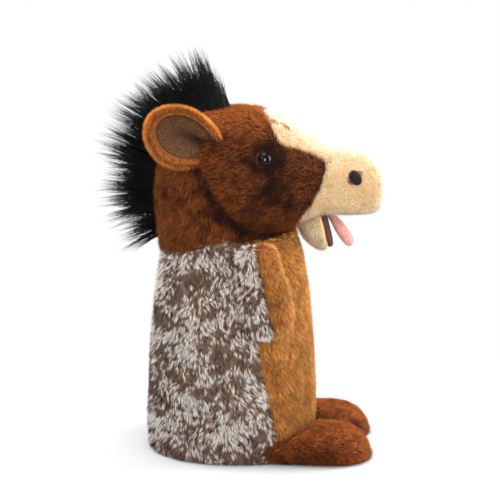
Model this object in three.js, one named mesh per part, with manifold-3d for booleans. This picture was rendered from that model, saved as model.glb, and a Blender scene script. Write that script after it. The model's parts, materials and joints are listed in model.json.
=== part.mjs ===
import * as THREE from "three";
import { mergeVertices } from "three/addons/utils/BufferGeometryUtils.js";
import Module from "manifold-3d";

// A plush horse hand puppet in millimetres: +Z up, nose towards +X, its right side at -Y.
// It stands on the hem of its sleeve and on two stuffed feet. Every layer is a piece of its own.

// Layers of cloth, felt and board, and the gap left at each seam
const SEAM_GAP = 0.3;
const BODY_PILE = 5;
const HEAD_PILE = 4;
const LIMB_PILE = 3;
const JAW_PILE = 2.5;
const LINING = 1.2;
const FELT = 1.5;
const BOARD = 1.8;

// Sleeve, from the hem up: lengths run from back to chest
const HEM_LENGTH = 110;
const HEM_WIDTH = 104;
const HEM_TURN_UP = 4;
const BELLY_LENGTH = 114;
const BELLY_WIDTH = 108;
const BELLY_HEIGHT = 18;
const CHEST_LENGTH = 105.6;
const CHEST_WIDTH = 98;
const CHEST_RISE = 86;
const COLLAR_LENGTH = 94;
const COLLAR_WIDTH = 82;
const COLLAR_RISE = 36;
const SHOULDER_LENGTH = 78;
const SHOULDER_WIDTH = 68;
const SHOULDER_RISE = 22;
const SIDE_SEAM_AT_HEM = 29.5;
const SIDE_SEAM_AT_NECK = 10;
const NECK_SEAM_RISE = 8.5;
const NECK_SEAM_TILT = 8.5;

// Head, measured from the middle of the round cheek
const HEAD_FORWARD = 20;
const CHEEK_RADIUS = 38;
const CHEEK_CLEARANCE = 0.6;
const CHEEK_WIDTH = 86;
const CHEEK_FRONT = 15;
const POLL_RISE = 44;
const POLL_WIDTH = 70;
const CROWN_BACK = 16;
const CROWN_RISE = 47.5;
const CROWN_WIDTH = 83;
const FOREHEAD_RISE = 45.75;
const BROW_REACH = 12;
const BROW_RISE = 40;
const BROW_WIDTH = 80;
const BRIDGE_REACH = 50;
const BRIDGE_RISE = 19;
const BRIDGE_WIDTH = 53;
const MUZZLE_REACH = 83;
const MUZZLE_RISE = 16.5;
const MUZZLE_WIDTH = 54;
const NOSE_ROUND = 22;
const PALATE_DROP = 20.5;
const LIP_TUCK = 8.5;
const MOUTH_CORNER_REACH = 41;
const THROAT_REACH = 24;
const THROAT_DROP = 26.5;

// Seams of the cream cloth in side view, from the same place: over the eye, and down behind the lips
const BLAZE_SEAM = [[-2, 47.5], [8, 36], [14, 25], [37, 17.5]];
const CREAM_POINT_REACH = 46;
const CREAM_POINT_RISE = 11;
const LIP_SEAM = [[42, -2], [35, -14.5], [25, -26.5]];
const MUZZLE_SEAM_REACH = 56;
const MUZZLE_SEAM_RISE = 20;

// Neck: reaches run back from the middle of the sleeve, and rises up from the middle of the cheek
const NECK_SWELL = 1.5;
const NECK_TUCK = 3;
const NAPE_REACH = 51;
const NAPE_WIDTH = 78;
const NAPE_DROP = 12;
const NECK_TOP_REACH = 46;
const NECK_TOP_LENGTH = 56;
const NECK_TOP_WIDTH = 66;
const NECK_TOP_RISE = 18;
const NECK_CREST_REACH = 34;
const NECK_CREST_LENGTH = 30;
const NECK_CREST_WIDTH = 44;
const NECK_CREST_RISE = 36;
const NECK_TIP_REACH = 23;
const NECK_TIP_LENGTH = 9;
const NECK_TIP_WIDTH = 16;

// Mane: hair that fans out round a point in the head, at angles up from the way the nose points
const MANE_BACK = 24;
const MANE_ROOT = 38;
const MANE_FORELOCK = 11.5;
const MANE_CREST_HAIR = 42;
const MANE_NAPE_HAIR = 40;
const MANE_END_HAIR = 46;
const MANE_THICKNESS = 24;
const MANE_TIP_THICKNESS = 16;
const MANE_FRONT_ANGLE = 86;
const MANE_CREST_ANGLE = 102;
const MANE_SPLIT_ANGLE = 125;
const MANE_NAPE_ANGLE = 173;
const MANE_END_ANGLE = 222;

// Pockets for the fingers and the thumb
const POCKET_WIDTH = 52;
const POCKET_HEIGHT = 38;
const POCKET_RISE = 4;
const KNUCKLE_REACH = 20;
const KNUCKLE_DROP = 3;
const KNUCKLE_WIDTH = 48;
const KNUCKLE_HEIGHT = 23;
const FINGERTIP_REACH = 46;
const FINGERTIP_WIDTH = 33;
const FINGERTIP_HEIGHT = 18;
const POCKET_REACH = 66;
const POCKET_ROUND = 12;
const HAND_WAY_RISE = 14;
const HAND_WAY_REACH = 24;
const THUMB_WAY_WIDTH = 24;
const THUMB_WAY_DROP = 27;
const THUMB_WAY_BEND = 6;
const THUMB_WAY_REACH = 45;
const THUMB_FLOOR_AT_THROAT = 2.5;
const THUMB_FLOOR_AT_MOUTH = 4;
const CROWN_FILLING_RISE = 26;
const MUZZLE_FILLING_REACH = 34;

// Jaw and tongue, measured from the fold of the felt at the corner of the mouth
const JAW_FORWARD = 2;
const JAW_OPEN_ANGLE = 75;
const JAW_LENGTH = 25;
const JAW_ROOT_DEPTH = 18;
const JAW_MIDDLE_DEPTH = 15;
const JAW_TIP_DEPTH = 10;
const JAW_WIDTH = 40;
const JAW_TIP_WIDTH = 34;
const JAW_ROUND = 12;
const JAW_PROUD = 4;
const TONGUE_ANGLE = 55;
const TONGUE_LENGTH = 27;
const TONGUE_WIDTH = 15;
const TONGUE_THICKNESS = 4.2;
const TONGUE_ROOT_THICKNESS = 1.8;
const TONGUE_FORWARD = 3.9;
const TONGUE_DROP = 1.1;

// Eyes and nostrils
const EYE_REACH = 4.2;
const EYE_RISE = 17;
const EYE_DIAMETER = 9.5;
const EYE_DOME = 3.6;
const EYE_SEAT = 1.2;
const EYE_SHANK_DIAMETER = 4;
const EYE_WASHER_DIAMETER = 11;
const EYE_WASHER_THICKNESS = 1.6;
const EYE_WASHER_SEAT = 1.8;
const NOSTRIL_REACH = 64.5;
const NOSTRIL_RISE = 3;
const NOSTRIL_LENGTH = 10;
const NOSTRIL_WIDTH = 7;
const NOSTRIL_DEPTH = 4;
const NOSTRIL_TILT = 55;

// Ears
const EAR_BACK = 35;
const EAR_RISE = 25;
const EAR_ROOT = 12;
const EAR_LENGTH = 46;
const EAR_ROOT_WIDTH = 30;
const EAR_WIDTH = 40;
const EAR_TIP_WIDTH = 28;
const EAR_ROUND = 18;
const EAR_CUP = 8;
const EAR_TIP_CUP = 2;
const EAR_PILE = 4.5;
const EAR_LINING = 1.8;
const EAR_INNER_WIDTH = 32;
const EAR_INNER_LENGTH = 39;
const EAR_ROOT_GAP = 0.8;
const EAR_SPLAY = 0.5;
const EAR_LIFT = 0.6;
const EAR_TWIST = 0.1;

// Arms
const ARM_REACH = 19.5;
const ARM_DROP = 5.5;
const ARM_LENGTH = 54;
const ARM_CAP = 8;
const ARM_SHOULDER_WIDTH = 27;
const ARM_PAW_WIDTH = 33;
const ARM_THICKNESS = 18;
const ARM_ROOT_GAP = 0.8;
const ARM_LEAN = 0.22;
const ARM_SPLAY = 0.2;

// Feet, which stand out in front of the belly
const FOOT_PROUD = 39;
const FOOT_LENGTH = 78;
const FOOT_SPACING = 54;
const FOOT_WIDTH = 52;
const FOOT_HEEL_WIDTH = 46;
const FOOT_HEIGHT = 22;
const FOOT_HEEL_HEIGHT = 19;
const FOOT_ROUND = 26;
const SOLE = 3;
const SOLE_FLAT = 0.5;
const FOOT_HINGE_INSET = 25;
const FOOT_LIFT_ANGLE = 8;

// Facets and the reach of cutting blocks
const RING_SIDES = 20;
const LIMB_SIDES = 12;
const BEAD_RINGS = 8;
const SLEEVE_RINGS = 7;
const HEAD_RINGS = 5;
const POCKET_RINGS = 6;
const NECK_RINGS = 9;
const MANE_RINGS = 8;
const JAW_RINGS = 2;
const TONGUE_RINGS = 5;
const EAR_RINGS = 4;
const ARM_RINGS = 3;
const FOOT_RINGS = 4;
const FAR = 400;
const PASS = 2;

const wasm = await Module();
wasm.setup();

const turn = THREE.MathUtils.degToRad;
const steps = (count) => Array.from({ length: count + 1 }, (_, step) => step / count);

// A closed solid from a closed geometry
function solidOf(geometry) {
  const bare = new THREE.BufferGeometry();
  bare.setAttribute("position", geometry.getAttribute("position"));
  bare.setIndex(geometry.index);
  const merged = mergeVertices(bare);
  const vertProperties = merged.attributes.position.array;
  const triVerts = new Uint32Array(merged.index.array);
  return new wasm.Manifold(new wasm.Mesh({ numProp: 3, vertProperties, triVerts }));
}

// The geometry of a solid
function geometryOf(solid) {
  const { numProp, vertProperties, triVerts } = solid.getMesh();
  const geometry = new THREE.BufferGeometry();
  geometry.setAttribute("position", new THREE.BufferAttribute(vertProperties, numProp));
  geometry.setIndex(new THREE.BufferAttribute(triVerts, 1));
  return geometry;
}

// The two end faces of a loft: each ring is symmetric, so its points pair off across it
function capFaces(sides, first, facesForward) {
  const half = sides / 2;
  const faces = [];
  for (let side = 0; side < half; side++) {
    const near = first + side;
    const next = first + side + 1;
    const across = first + ((sides - side) % sides);
    const nextAcross = first + sides - side - 1;
    if (side > 0) faces.push([near, next, across]);
    if (side + 1 < half) faces.push([next, nextAcross, across]);
  }
  return faces.flatMap(([a, b, c]) => (facesForward ? [a, b, c] : [a, c, b]));
}

// A closed skin over rings that turn anticlockwise about the way the loft runs. Its faces split the other
// way in every second quarter, so that both halves of a loft are alike.
function loft(rings, frame = new THREE.Matrix4()) {
  const sides = rings[0].length;
  const faces = [];
  for (let ring = 0; ring + 1 < rings.length; ring++) {
    for (let side = 0; side < sides; side++) {
      const a = ring * sides + side;
      const b = ring * sides + ((side + 1) % sides);
      const quarter = Math.floor((4 * side) / sides);
      if (quarter % 2 === 0) faces.push(a, b, b + sides, a, b + sides, a + sides);
      else faces.push(a, b, a + sides, b, b + sides, a + sides);
    }
  }
  faces.push(...capFaces(sides, 0, false));
  faces.push(...capFaces(sides, (rings.length - 1) * sides, true));
  const geometry = new THREE.BufferGeometry().setFromPoints(rings.flat());
  geometry.setIndex(faces);
  return solidOf(geometry.applyMatrix4(frame));
}

// A rounded section: power 2 is an ellipse, and more is squarer, in all of it or in its lower half
function section(sides, halfWide, halfHigh, power, place, lowPower = power) {
  return Array.from({ length: sides }, (_, side) => {
    const angle = (2 * Math.PI * side) / sides;
    const squareness = 2 / (side > sides / 2 ? lowPower : power);
    const round = (value) => Math.sign(value) * Math.abs(value) ** squareness;
    return place(halfWide * round(Math.cos(angle)), halfHigh * round(Math.sin(angle)));
  });
}

// Values that change smoothly along a piece, from rows of [place, value, value...]
function along(rows) {
  const places = rows.map(([place]) => place);
  const values = rows.flatMap(([, ...rest]) => rest);
  const curve = new THREE.CubicInterpolant(places, values, rows[0].length - 1);
  return (place) => Array.from(curve.evaluate(place));
}

// How much of a section is left where an end rounds off, from 0 to 1 along the rounding
function rounding(share) {
  const power = 2.3;
  return (1 - Math.min(Math.max(share, 0), 1) ** power) ** (1 / power);
}

// Places that close up towards an end, as shares of its rounding
const endShares = [0.4, 0.7, 0.9, 0.98];

// Places along a piece that close up where its end rounds off. Only the rounding changes as it grows.
function placesTo(start, end, round, count, grow = 0) {
  const straight = steps(count).map((step) => start + (end - round - start) * step);
  const curved = endShares.map((share) => end - round + (round + grow) * share);
  return [...straight, ...curved];
}

// A block through the whole width, or from low to high across it, from its outline in side view
function prism(outline, low = -FAR, high = FAR) {
  const shape = new THREE.Shape(outline.map(([x, z]) => new THREE.Vector2(x, z)));
  const geometry = new THREE.ExtrudeGeometry(shape, { depth: high - low, bevelEnabled: false });
  return solidOf(geometry.rotateX(Math.PI / 2).translate(0, high, 0));
}

// A box between two corners in a frame
function block(low, high, frame = new THREE.Matrix4()) {
  const size = new THREE.Vector3().subVectors(high, low);
  const middle = new THREE.Vector3().addVectors(high, low).multiplyScalar(0.5);
  const geometry = new THREE.BoxGeometry(size.x, size.y, size.z);
  return solidOf(geometry.translate(middle.x, middle.y, middle.z).applyMatrix4(frame));
}

// A frame whose Z runs forward and down by an angle, with X behind it and Y across
function hangingFrame(origin, angle) {
  const down = new THREE.Vector3(Math.cos(turn(angle)), 0, -Math.sin(turn(angle)));
  const behind = new THREE.Vector3(-Math.sin(turn(angle)), 0, -Math.cos(turn(angle)));
  const across = new THREE.Vector3(0, 1, 0);
  return new THREE.Matrix4().makeBasis(behind, across, down).setPosition(origin);
}

const puppet = new THREE.Group();

function plush(colour) {
  return new THREE.MeshStandardMaterial({ color: colour, roughness: 0.95, metalness: 0 });
}

// Adds one named piece of the puppet
function addPiece(name, solid, material) {
  const geometry = geometryOf(solid);
  geometry.computeVertexNormals();
  const mesh = new THREE.Mesh(geometry, material.clone());
  mesh.name = name;
  puppet.add(mesh);
  return mesh;
}

// Adds a piece of the right side and its mirror image on the left
function addPair(name, solid, material) {
  addPiece(`${name}_right`, solid, material);
  addPiece(`${name}_left`, solid, material).scale.y = -1;
}

// Colours of the cloths, felts, boards and stuffing
const greyPlush = plush(0xb5aca3);
const caramelPlush = plush(0xa9652a);
const brownPlush = plush(0x6e3a1c);
const footPlush = plush(0x6b3210);
const creamPlush = plush(0xe8d3ac);
const maneHair = new THREE.MeshStandardMaterial({ color: 0x151416, roughness: 0.55, metalness: 0 });
const taupeVelour = plush(0x8a6a52);
const brownFelt = plush(0x55302a);
const pinkVelour = plush(0xdf9793);
const liningCloth = plush(0x77706a);
const stuffing = plush(0xf0eee8);
const board = plush(0xcabfa8);
const eyePlastic = new THREE.MeshStandardMaterial({ color: 0x080808, roughness: 0.08, metalness: 0 });
const whitePlastic = new THREE.MeshStandardMaterial({ color: 0xe6e6e2, roughness: 0.45, metalness: 0 });
const blackFelt = plush(0x120d0b);

// Sleeve: an oval tube that narrows from the belly to the shoulders
const chestHeight = BELLY_HEIGHT + CHEST_RISE;
const collarHeight = chestHeight + COLLAR_RISE;
const shoulderHeight = collarHeight + SHOULDER_RISE;
const neckSeamHeight = collarHeight + NECK_SEAM_RISE;
const sleeveForm = along([
  [0, HEM_LENGTH / 2, HEM_WIDTH / 2],
  [BELLY_HEIGHT, BELLY_LENGTH / 2, BELLY_WIDTH / 2],
  [chestHeight, CHEST_LENGTH / 2, CHEST_WIDTH / 2],
  [collarHeight, COLLAR_LENGTH / 2, COLLAR_WIDTH / 2],
  [shoulderHeight, SHOULDER_LENGTH / 2, SHOULDER_WIDTH / 2],
]);
const sleevePower = 2.1;
const seamSlope = Math.tan(turn(NECK_SEAM_TILT));
const seamFrame = new THREE.Matrix4()
  .makeRotationY(-turn(NECK_SEAM_TILT))
  .setPosition(0, 0, neckSeamHeight);

function sleeve(grow, low, high) {
  const between = steps(SLEEVE_RINGS).map((step) => step * shoulderHeight);
  const levels = [low, ...between.filter((z) => z > low && z < high), high];
  return loft(
    levels.map((z) => {
      const [halfLong, halfWide] = sleeveForm(z);
      const place = (x, y) => new THREE.Vector3(x, y, z);
      return section(RING_SIDES, halfLong + grow, halfWide + grow, sleevePower, place);
    }),
  );
}

// The right side's distance from the middle plane at a place on the sleeve
function sleeveSide(x, z) {
  const [halfLong, halfWide] = sleeveForm(z);
  return -halfWide * (1 - Math.abs(x / halfLong) ** sleevePower) ** (1 / sleevePower);
}

const aboveNeckSeam = (offset) =>
  block(new THREE.Vector3(-FAR, -FAR, offset), new THREE.Vector3(FAR, FAR, FAR), seamFrame);

function chestSide(offset) {
  const seamAt = (z) =>
    SIDE_SEAM_AT_HEM + ((SIDE_SEAM_AT_NECK - SIDE_SEAM_AT_HEM) * z) / neckSeamHeight + offset;
  return prism([[seamAt(-FAR), -FAR], [FAR, -FAR], [FAR, FAR], [seamAt(FAR), FAR]]);
}

const neckSide = aboveNeckSeam(-SEAM_GAP / 2);
const panelShell = sleeve(0, 0, shoulderHeight)
  .subtract(sleeve(-BODY_PILE, -PASS, shoulderHeight + PASS))
  .subtract(neckSide);
addPiece("back_panel", panelShell.subtract(chestSide(-SEAM_GAP / 2)), greyPlush);
addPiece("chest_panel", panelShell.intersect(chestSide(SEAM_GAP / 2)), caramelPlush);

const liningInset = BODY_PILE + SEAM_GAP;
const sleeveLining = sleeve(-liningInset, HEM_TURN_UP, shoulderHeight)
  .subtract(sleeve(-liningInset - LINING, -PASS, shoulderHeight + PASS))
  .subtract(neckSide);
addPiece("sleeve_lining", sleeveLining, liningCloth);

// Head: one closed form whose skin is cut into panels. The cheek's underside is an arc about its middle.
const headHeight =
  neckSeamHeight +
  HEAD_FORWARD * seamSlope +
  (CHEEK_RADIUS + CHEEK_CLEARANCE) / Math.cos(turn(NECK_SEAM_TILT));
const headMiddle = new THREE.Vector3(HEAD_FORWARD, 0, headHeight);
const fromHead = ([x, z]) => [headMiddle.x + x, headMiddle.z + z];
const faceForm = along([
  [-CHEEK_RADIUS, POLL_RISE, POLL_WIDTH / 2],
  [-CROWN_BACK, CROWN_RISE, CROWN_WIDTH / 2],
  [0, FOREHEAD_RISE, CHEEK_WIDTH / 2],
  [BROW_REACH, BROW_RISE, BROW_WIDTH / 2],
  [BRIDGE_REACH, BRIDGE_RISE, BRIDGE_WIDTH / 2],
  [MUZZLE_REACH - NOSE_ROUND, MUZZLE_RISE, MUZZLE_WIDTH / 2],
  [MUZZLE_REACH, MUZZLE_RISE, MUZZLE_WIDTH / 2],
]);
const cheekArc = (x) => -Math.sqrt(Math.max(CHEEK_RADIUS ** 2 - x ** 2, 0));
const lipForm = along([
  [CHEEK_FRONT, cheekArc(CHEEK_FRONT)],
  [MOUTH_CORNER_REACH, -PALATE_DROP - LIP_TUCK],
  [MUZZLE_REACH, -PALATE_DROP - LIP_TUCK],
]);
const headPower = 2.3;
const cheekPower = 3;

function headSection(x, grow) {
  const [top, half] = faceForm(x);
  const low = x < CHEEK_FRONT ? cheekArc(x) : lipForm(x)[0];
  const left = rounding((x - MUZZLE_REACH + NOSE_ROUND) / (NOSE_ROUND + grow));
  return {
    middle: (top + low) / 2,
    halfHigh: ((top - low) / 2 + grow) * left,
    halfWide: (half + grow) * left,
  };
}

// The head's form, grown all over and drawn out behind by a tail
function head(grow, tail = 0) {
  const behind = steps(HEAD_RINGS).map((step) => -CHEEK_RADIUS * Math.cos((step * Math.PI) / 2));
  const before = placesTo(0, MUZZLE_REACH, NOSE_ROUND, HEAD_RINGS, grow);
  const places = [...behind.slice(0, -1), ...before];
  const drawnOut = tail > 0 ? [-CHEEK_RADIUS - tail, ...places] : places;
  return loft(
    drawnOut.map((x) => {
      const { middle, halfHigh, halfWide } = headSection(x, grow);
      const place = (y, z) => new THREE.Vector3(headMiddle.x + x, y, headMiddle.z + middle + z);
      return section(RING_SIDES, halfWide, halfHigh, headPower, place, cheekPower);
    }),
  );
}

// The right side's distance from the middle plane at a place on the head
function headSide(x, z) {
  const { middle, halfHigh, halfWide } = headSection(x, 0);
  return -halfWide * (1 - Math.abs((z - middle) / halfHigh) ** headPower) ** (1 / headPower);
}

// A frame on the right side of the head, with Z outward and X forward
function headSideFrame(x, z) {
  const span = 1;
  const forward = new THREE.Vector3(2 * span, headSide(x + span, z) - headSide(x - span, z), 0);
  const upward = new THREE.Vector3(0, headSide(x, z + span) - headSide(x, z - span), 2 * span);
  const outward = new THREE.Vector3().crossVectors(forward, upward).normalize();
  forward.normalize();
  const up = new THREE.Vector3().crossVectors(outward, forward);
  const origin = new THREE.Vector3(headMiddle.x + x, headSide(x, z), headMiddle.z + z);
  return new THREE.Matrix4().makeBasis(forward, up, outward).setPosition(origin);
}

// The mouth is cut flat under the muzzle and slopes down to the throat behind its corner
const mouthCut = (raise) =>
  prism(
    [
      [MOUTH_CORNER_REACH, -PALATE_DROP + raise],
      [THROAT_REACH, -THROAT_DROP + raise],
      [THROAT_REACH, -FAR],
      [FAR, -FAR],
      [FAR, -PALATE_DROP + raise],
    ].map(fromHead),
  );

// The head is open behind and below, where the fingers come up into their pocket
const handWayHalf = POCKET_WIDTH / 2 + LINING + SEAM_GAP;
const handWay = prism(
  [
    [-FAR, HAND_WAY_RISE],
    [-CHEEK_RADIUS, HAND_WAY_RISE],
    [-HAND_WAY_REACH, -CHEEK_RADIUS],
    [-FAR, -CHEEK_RADIUS],
  ].map(fromHead),
  -handWayHalf,
  handWayHalf,
);

// The cream cloth starts at the brow, runs back to a point above the mouth and ends at the throat
const creamEdge = [...BLAZE_SEAM, [CREAM_POINT_REACH, CREAM_POINT_RISE], ...LIP_SEAM];
const creamSide = (offset) =>
  prism(
    [
      [creamEdge.at(0)[0], FAR],
      ...creamEdge,
      [creamEdge.at(-1)[0], -FAR],
      [FAR, -FAR],
      [FAR, FAR],
    ]
      .map(([x, z]) => [x + offset, z])
      .map(fromHead),
  );
const muzzleSide = (offset) =>
  prism(
    [
      [CREAM_POINT_REACH + offset, CREAM_POINT_RISE],
      [MUZZLE_SEAM_REACH + offset, MUZZLE_SEAM_RISE],
      [MUZZLE_SEAM_REACH + offset, FAR],
      [FAR, FAR],
      [FAR, -FAR],
      [offset - FAR, -FAR],
      [offset - FAR, CREAM_POINT_RISE],
    ].map(fromHead),
  );
const rightHalf = prism([[-FAR, -FAR], [FAR, -FAR], [FAR, FAR], [-FAR, FAR]], -FAR, -SEAM_GAP / 2);

const eyeFrame = headSideFrame(EYE_REACH, EYE_RISE);
const nostrilFrame = headSideFrame(NOSTRIL_REACH, NOSTRIL_RISE);

// A round pin along Z in a frame
function pin(diameter, low, high, frame) {
  const geometry = new THREE.CylinderGeometry(diameter / 2, diameter / 2, high - low, LIMB_SIDES);
  return solidOf(geometry.rotateX(Math.PI / 2).translate(0, 0, (low + high) / 2).applyMatrix4(frame));
}

// A geometry's mirror image on the other side of the head
function mirrored(geometry) {
  const other = geometry.clone().scale(1, -1, 1);
  const order = other.index.array;
  for (let corner = 0; corner < order.length; corner += 3) {
    [order[corner], order[corner + 1]] = [order[corner + 1], order[corner]];
  }
  return other;
}

function oval(length, width, depth, frame) {
  const ball = new THREE.SphereGeometry(1, LIMB_SIDES, BEAD_RINGS).scale(length / 2, width / 2, depth / 2);
  return ball.rotateZ(-turn(NOSTRIL_TILT)).applyMatrix4(frame);
}

const nostrilSeat = oval(
  NOSTRIL_LENGTH + 2 * SEAM_GAP,
  NOSTRIL_WIDTH + 2 * SEAM_GAP,
  NOSTRIL_DEPTH + 2 * SEAM_GAP,
  nostrilFrame,
);
const nostrilSeats = solidOf(nostrilSeat).add(solidOf(mirrored(nostrilSeat)));
const shankHole = pin(EYE_SHANK_DIAMETER + 2 * SEAM_GAP, -HEAD_PILE - PASS, PASS, eyeFrame);

const skinShell = head(0)
  .subtract(head(-HEAD_PILE, PASS))
  .subtract(mouthCut(0))
  .subtract(handWay);
const creamShell = skinShell.intersect(creamSide(SEAM_GAP / 2));
const brownShell = skinShell.subtract(creamSide(-SEAM_GAP / 2));
addPair("head_side", brownShell.intersect(rightHalf).subtract(shankHole), brownPlush);
addPiece("blaze_panel", creamShell.subtract(muzzleSide(-SEAM_GAP / 2)), creamPlush);
addPiece("muzzle_panel", creamShell.intersect(muzzleSide(SEAM_GAP / 2)).subtract(nostrilSeats), creamPlush);
addPair("nostril", solidOf(oval(NOSTRIL_LENGTH, NOSTRIL_WIDTH, NOSTRIL_DEPTH, nostrilFrame)), blackFelt);

// Eyes: a domed cap on a shank through the cloth, held by a washer inside
const eyeCap = new THREE.SphereGeometry(EYE_DIAMETER / 2, LIMB_SIDES, BEAD_RINGS);
eyeCap.scale(1, 1, (2 * EYE_DOME) / EYE_DIAMETER).translate(0, 0, EYE_SEAT).applyMatrix4(eyeFrame);
const clothAtEye = pin(EYE_DIAMETER + PASS, -HEAD_PILE, EYE_SEAT, eyeFrame);
const shankLength = HEAD_PILE + EYE_WASHER_SEAT + EYE_WASHER_THICKNESS + EYE_SEAT;
const eyeShank = pin(EYE_SHANK_DIAMETER, -shankLength, EYE_DOME / 2, eyeFrame);
addPair("eye", solidOf(eyeCap).subtract(clothAtEye).add(eyeShank), eyePlastic);
const washerTop = -HEAD_PILE - EYE_WASHER_SEAT;
const washerHole = pin(EYE_SHANK_DIAMETER + 2 * SEAM_GAP, -FAR, FAR, eyeFrame);
const washerDisc = pin(EYE_WASHER_DIAMETER, washerTop - EYE_WASHER_THICKNESS, washerTop, eyeFrame);
addPair("eye_washer", washerDisc.subtract(washerHole), whitePlastic);

// Mouth roof: felt sewn across the lips, with a board behind it
const headSlab = (low, high) =>
  prism(
    [
      [MOUTH_CORNER_REACH, low],
      [FAR, low],
      [FAR, high],
      [MOUTH_CORNER_REACH, high],
    ].map(fromHead),
  );
const feltTop = -PALATE_DROP - SEAM_GAP;
const boardTop = -PALATE_DROP + BOARD;
const stuffingInset = HEAD_PILE + SEAM_GAP;
const headInside = head(-stuffingInset);
addPiece("palate_lining", head(0).intersect(headSlab(feltTop - FELT, feltTop)), brownFelt);
addPiece("palate_board", headInside.intersect(headSlab(-PALATE_DROP, boardTop)), board);

// Finger pocket: a flat pouch, wide at the neck and closed over the palate
const fingertipHeight = boardTop + SEAM_GAP + LINING + FINGERTIP_HEIGHT / 2;
const pocketForm = along([
  [-CHEEK_RADIUS, POCKET_RISE, POCKET_HEIGHT / 2, POCKET_WIDTH / 2],
  [KNUCKLE_REACH, -KNUCKLE_DROP, KNUCKLE_HEIGHT / 2, KNUCKLE_WIDTH / 2],
  [FINGERTIP_REACH, fingertipHeight, FINGERTIP_HEIGHT / 2, FINGERTIP_WIDTH / 2],
  [POCKET_REACH, fingertipHeight, FINGERTIP_HEIGHT / 2, FINGERTIP_WIDTH / 2],
]);
const pocketPower = 2.6;

function pocket(grow, tail = 0) {
  const places = placesTo(-CHEEK_RADIUS, POCKET_REACH, POCKET_ROUND, POCKET_RINGS, grow);
  const drawnOut = tail > 0 ? [-CHEEK_RADIUS - tail, ...places] : places;
  return loft(
    drawnOut.map((x) => {
      const [middle, halfHigh, halfWide] = pocketForm(x);
      const left = rounding((x - POCKET_REACH + POCKET_ROUND) / (POCKET_ROUND + grow));
      const place = (y, z) => new THREE.Vector3(headMiddle.x + x, y, headMiddle.z + middle + z);
      return section(LIMB_SIDES, (halfWide + grow) * left, (halfHigh + grow) * left, pocketPower, place);
    }),
  );
}

const fingerPocket = pocket(LINING).subtract(pocket(0, PASS)).subtract(handWay);
addPiece("finger_pocket", fingerPocket, liningCloth);

// Stuffing round the pocket, with a way for the thumb under it
const thumbWay = prism(
  [
    [-FAR, 0],
    [-FAR, -THUMB_WAY_DROP],
    [THUMB_WAY_BEND, -THUMB_WAY_DROP],
    [THROAT_REACH, THUMB_FLOOR_AT_THROAT - THROAT_DROP],
    [THUMB_WAY_REACH, THUMB_FLOOR_AT_MOUTH - PALATE_DROP],
    [THUMB_WAY_REACH, 0],
  ].map(fromHead),
  -THUMB_WAY_WIDTH / 2,
  THUMB_WAY_WIDTH / 2,
);
const headBox = (lowX, highX, lowZ, highZ, halfWide = FAR) =>
  prism([[lowX, lowZ], [highX, lowZ], [highX, highZ], [lowX, highZ]].map(fromHead), -halfWide, halfWide);
const washerRoom = pin(EYE_WASHER_DIAMETER + 2 * SEAM_GAP, -shankLength - SEAM_GAP, 0, eyeFrame);
const stuffed = headInside
  .subtract(pocket(LINING + SEAM_GAP, PASS))
  .subtract(handWay)
  .subtract(mouthCut(SEAM_GAP))
  .subtract(headBox(MOUTH_CORNER_REACH - SEAM_GAP, FAR, -FAR, boardTop + SEAM_GAP))
  .subtract(nostrilSeats);
addPiece("crown_filling", stuffed.intersect(headBox(-FAR, FAR, CROWN_FILLING_RISE, FAR)), stuffing);
const overPocket = headBox(-FAR, FAR, 0, FAR, handWayHalf);
const besidePocket = headBox(-FAR, MUZZLE_FILLING_REACH, -FAR, CROWN_FILLING_RISE - SEAM_GAP);
const cheekFilling = stuffed
  .intersect(besidePocket)
  .subtract(overPocket)
  .subtract(thumbWay)
  .subtract(washerRoom)
  .intersect(rightHalf);
addPair("cheek_filling", cheekFilling, stuffing);
const muzzleFront = headBox(MUZZLE_FILLING_REACH + SEAM_GAP, FAR, -FAR, CROWN_FILLING_RISE - SEAM_GAP);
addPiece("muzzle_filling", stuffed.intersect(muzzleFront).subtract(thumbWay), stuffing);

// Neck: rises from the collar round the back of the head, which is cut out of it
const collarHalf = COLLAR_LENGTH / 2;
const [, seamHalfWidth] = sleeveForm(neckSeamHeight);
const neckBottom = chestHeight + COLLAR_RISE / 2;
const neckPower = 2.1;
const topFront = NECK_TOP_LENGTH - NECK_TOP_REACH;
const crestFront = NECK_CREST_LENGTH - NECK_CREST_REACH;
const tipFront = NECK_TIP_LENGTH - NECK_TIP_REACH;
const neckForm = along([
  [neckBottom, -collarHalf, collarHalf, seamHalfWidth],
  [neckSeamHeight, -collarHalf - NECK_SWELL, collarHalf - NECK_TUCK, seamHalfWidth],
  [headHeight - NAPE_DROP, -NAPE_REACH, HEAD_FORWARD, NAPE_WIDTH / 2],
  [headHeight + NECK_TOP_RISE, -NECK_TOP_REACH, topFront, NECK_TOP_WIDTH / 2],
  [headHeight + NECK_CREST_RISE, -NECK_CREST_REACH, crestFront, NECK_CREST_WIDTH / 2],
  [headHeight + POLL_RISE, -NECK_TIP_REACH, tipFront, NECK_TIP_WIDTH / 2],
]);

function neck(grow) {
  const rise = headHeight + POLL_RISE - neckBottom;
  return loft(
    steps(NECK_RINGS).map((step) => {
      const level = neckBottom + rise * step;
      const z = step < 1 ? level : level + grow;
      const [back, front, halfWide] = neckForm(level);
      const place = (x, y) => new THREE.Vector3((back + front) / 2 + x, y, z);
      return section(RING_SIDES, (front - back) / 2 + grow, halfWide + grow, neckPower, place);
    }),
  );
}

const headRoom = head(SEAM_GAP, SEAM_GAP);
const overSeam = aboveNeckSeam(SEAM_GAP / 2);
const neckPanel = neck(0).subtract(neck(-HEAD_PILE)).subtract(headRoom).intersect(overSeam);
addPiece("neck_panel", neckPanel, brownPlush);
const neckLining = neck(-HEAD_PILE - SEAM_GAP)
  .subtract(neck(-HEAD_PILE - SEAM_GAP - LINING))
  .subtract(headRoom)
  .intersect(overSeam);
addPiece("neck_lining", neckLining, liningCloth);

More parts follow.
